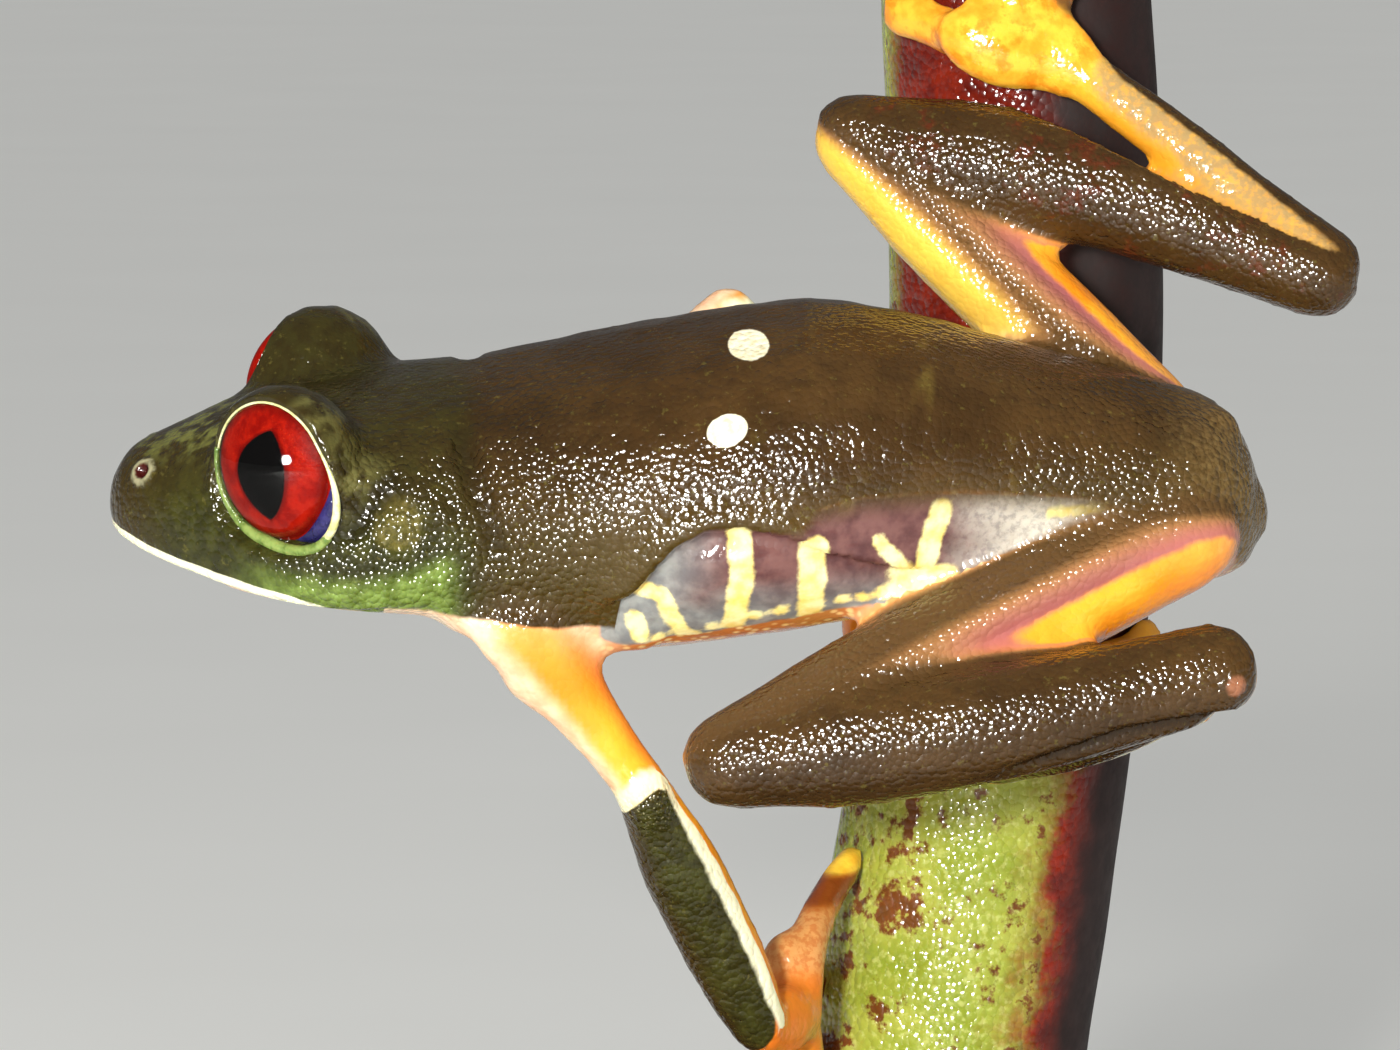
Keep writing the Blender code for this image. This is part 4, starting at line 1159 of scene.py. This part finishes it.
stem_mesh = stem_piece()
flat_ring = np.array([v.co for v in stem_mesh.verts])
height = STEM_LOW + flat_ring[:, 2] * (STEM_HIGH - STEM_LOW)
turn = np.degrees(np.arctan2(-flat_ring[:, 0], -flat_ring[:, 1]))
reach = np.hypot(flat_ring[:, 0], flat_ring[:, 1])
across, stem_radius = stem_line(height)
round_x, round_y = np.cos(np.radians(turn)) * 2.2, np.sin(np.radians(turn)) * 2.2
swells = np.array([noise.noise(Vector(p)) for p in zip(round_x, round_y, height * 0.16)])
ribs = np.cos(np.radians(turn * RIBS)) * RIB_DEPTH
stem_reach = reach * (stem_radius + SWELL_OUT + SWELLS * swells + ribs)
stem_points = np.stack([across - np.sin(np.radians(turn)) * stem_reach,
                        STEM_BACK - np.cos(np.radians(turn)) * stem_reach, height], 1)
for vert, point in zip(stem_mesh.verts, stem_points):
    vert.co = point
bmesh.ops.recalc_face_normals(stem_mesh, faces=stem_mesh.faces)
stem = add_piece("stem", stem_mesh)
stem.data.set_sharp_from_angle(angle=math.radians(50))
store(stem, turn=turn, height=height, reach=reach)
print("stem:", len(stem.data.polygons), "faces")

# %% Stem finish
def stem_paint():
    p = Paint("stem_rind", IOR=1.45, Specular_IOR_Level=0.36, Subsurface_Weight=0.08,
              Subsurface_Scale=0.0008)
    turn, height, reach = p.measure("turn"), p.measure("height"), p.measure("reach")
    blotch, mottle, fine = p.clouds(5.0, 4, 0.6), p.clouds(1.3, 4, 0.65), p.clouds(0.35, 3)
    patchy = blotch - 0.5
    lean = p.step(turn + patchy * 60 + (mottle - 0.5) * 30, -40, -14, 1.0, 0.0)
    behind_left = p.step(turn + patchy * 50, 96, 132)
    upper = p.step(height + patchy * 8, 48, 56)
    upper_red = upper * p.step(turn + (mottle - 0.5) * 24, 62, 80, 1.0, 0.0)
    freckle = p.step(mottle * 0.55 + blotch * 0.45, 0.51, 0.57)
    # painted shade: the stem's side away from the light is painted near-black, wider up the stem
    painted_shadow_from = upper * 34 - 56
    painted_shadow_side = p.step(turn + patchy * 24, painted_shadow_from, painted_shadow_from + 24, 1.0, 0.0)
    pith = p.turn(reach, 0.5, 0.95, (226, 222, 176), (150, 168, 80))
    p.set("Base Color", p.cover(
        p.turn(blotch, 0.3, 0.7, (132, 146, 44), (172, 176, 78)),
        (p.step(fine, 0.5, 0.7) * 0.5, (196, 200, 120)),
        (lean.most(behind_left).most(upper_red).most(freckle * 0.9),
         p.turn(mottle, 0.35, 0.65, (128, 36, 20), (92, 22, 14))),
        (painted_shadow_side * 0.95, (18, 7, 5)),
        (p.step(reach, 0.985, 0.995, 1.0, 0.0),
         p.mix(p.step(p.grains(0.6), 0.05, 0.3, 0.5, 0.0), pith, (196, 188, 130)))))
    streak_place = p.node("CombineXYZ", {0: turn * (MM * 0.12), 1: height * (MM * 0.1)})
    streak, cells = p.clouds(1.0, 3, 0.5, streak_place), p.grains(0.40)
    p.relief((cells * cells * -1.1 + mottle * 0.6 + streak * 0.9) * (1 - painted_shadow_side * 0.9), 0.085)
    p.set("Roughness", p.step(mottle, 0.3, 0.7, 0.09, 0.20) + painted_shadow_side * 0.5)
    return p.material


hand_over(stem, stem_paint(), "stem", "perch_stem")

# %% [markdown]
# ## The stand
# A turned disc and a short rod, as a museum would use: dark oiled wood with a moulded edge,
# and a brushed steel pin whose collar carries the cut end of the stem.
# %% Turned pieces
LATHE_STEPS = 128


def turned(name, outline, centre=(0.0, 0.0)):
    """A closed profile of (radius, height) points spun round an upright axis."""
    bm = bmesh.new()
    verts = [bm.verts.new((radius, 0, high)) for radius, high in outline]
    edges = [bm.edges.new(pair) for pair in zip(verts, verts[1:])]
    bmesh.ops.spin(bm, geom=verts + edges, axis=(0, 0, 1), cent=(0, 0, 0), steps=LATHE_STEPS,
                   angle=2 * math.pi, use_merge=True)
    bmesh.ops.remove_doubles(bm, verts=bm.verts, dist=1e-4)
    bmesh.ops.recalc_face_normals(bm, faces=bm.faces)
    bmesh.ops.translate(bm, vec=(*centre, 0), verts=bm.verts)
    made = add_piece(name, bm)
    made.data.set_sharp_from_angle(angle=math.radians(35))
    return made


def rounded(centre, radius, start, end, steps=6):
    """Points along an arc of a profile; angles in degrees, 0 outwards and 90 up."""
    angles = [math.radians(start + (end - start) * k / steps) for k in range(steps + 1)]
    return [(centre[0] + radius * math.cos(a), centre[1] + radius * math.sin(a)) for a in angles]


base_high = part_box("stand_base")[1] / MM
rod_low, rod_high = (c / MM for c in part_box("stand_rod"))
disc_radius, disc_top = base_high.x, base_high.z
rod_middle = ((rod_low.x + rod_high.x) / 2, (rod_low.y + rod_high.y) / 2)
collar_radius = (rod_high.x - rod_low.x) / 2
r, t = disc_radius, disc_top
base_outline = [(0, t), *rounded((r - 4.6, t - 0.5), 0.5, 90, 0, 4),
                *rounded((r - 2.7, t - 1.9), 1.5, 140, 90, 4),
                *rounded((r - 1.4, t - 2.0), 1.4, 80, -50), (r - 1.3, 2.1),
                *rounded((r - 1.0, 1.0), 1.0, 70, -80), (r - 2.5, 0.0), (0, 0.0)]
base = turned("base_disc", base_outline)
ROD_RADIUS, FOOT_RADIUS = 2.2, 3.1
r, h = collar_radius - 0.3, rod_high.z
rod_outline = [(0, h), *rounded((r, h - 0.3), 0.3, 90, 0, 4),
               *rounded((r, h - 1.3), 0.3, 0, -90, 4),
               (FOOT_RADIUS, h - 1.8), (ROD_RADIUS, h - 2.8), (ROD_RADIUS, t + 0.7),
               (FOOT_RADIUS, t + 0.5), (FOOT_RADIUS, t + 0.05), (0, t + 0.05)]
rod = turned("support_rod", rod_outline, rod_middle)
print("stand turned: disc", round(disc_radius * 2, 1), "mm across")

# %% Stand finishes
def wood_paint():
    p = Paint("oiled_walnut", IOR=1.5, Coat_Weight=0.35, Coat_Roughness=0.18)
    grain_place = p.node("Mapping", {"Vector": p.place(), "Scale": (0.12, 1.0, 1.0),
                                     "Rotation": (0, 0, 0.2)})
    rings, pores = p.clouds(2.4, 5, 0.55, grain_place), p.clouds(0.35, 2, 0.5, grain_place)
    p.set("Base Color", p.cover(p.turn(rings, 0.3, 0.7, (58, 36, 22), (104, 68, 42)),
                                (p.step(pores, 0.58, 0.7) * 0.6, (34, 20, 12))))
    p.set("Roughness", p.step(pores, 0.4, 0.7, 0.34, 0.55))
    p.relief(pores * 0.6 + rings * 0.4, 0.05)
    return p.material


def steel_paint():
    p = Paint("brushed_steel", Metallic=1.0)
    brush_place = p.node("Mapping", {"Vector": p.place(), "Scale": (1.0, 1.0, 9.0)})
    brushing = p.clouds(0.25, 3, 0.6, brush_place)
    p.set("Base Color", p.mix(brushing, (168, 168, 166), (206, 206, 204)))
    p.set("Roughness", p.step(brushing, 0.3, 0.7, 0.26, 0.42))
    p.relief(brushing, 0.006)
    return p.material


hand_over(base, wood_paint(), "base", "stand_base")
hand_over(rod, steel_paint(), "rod", "stand_rod")

# %% [markdown]
# ## End of the scene
# The looks have to stay inside the frame's own box, give or take a little.
# %% End
print("scene built")
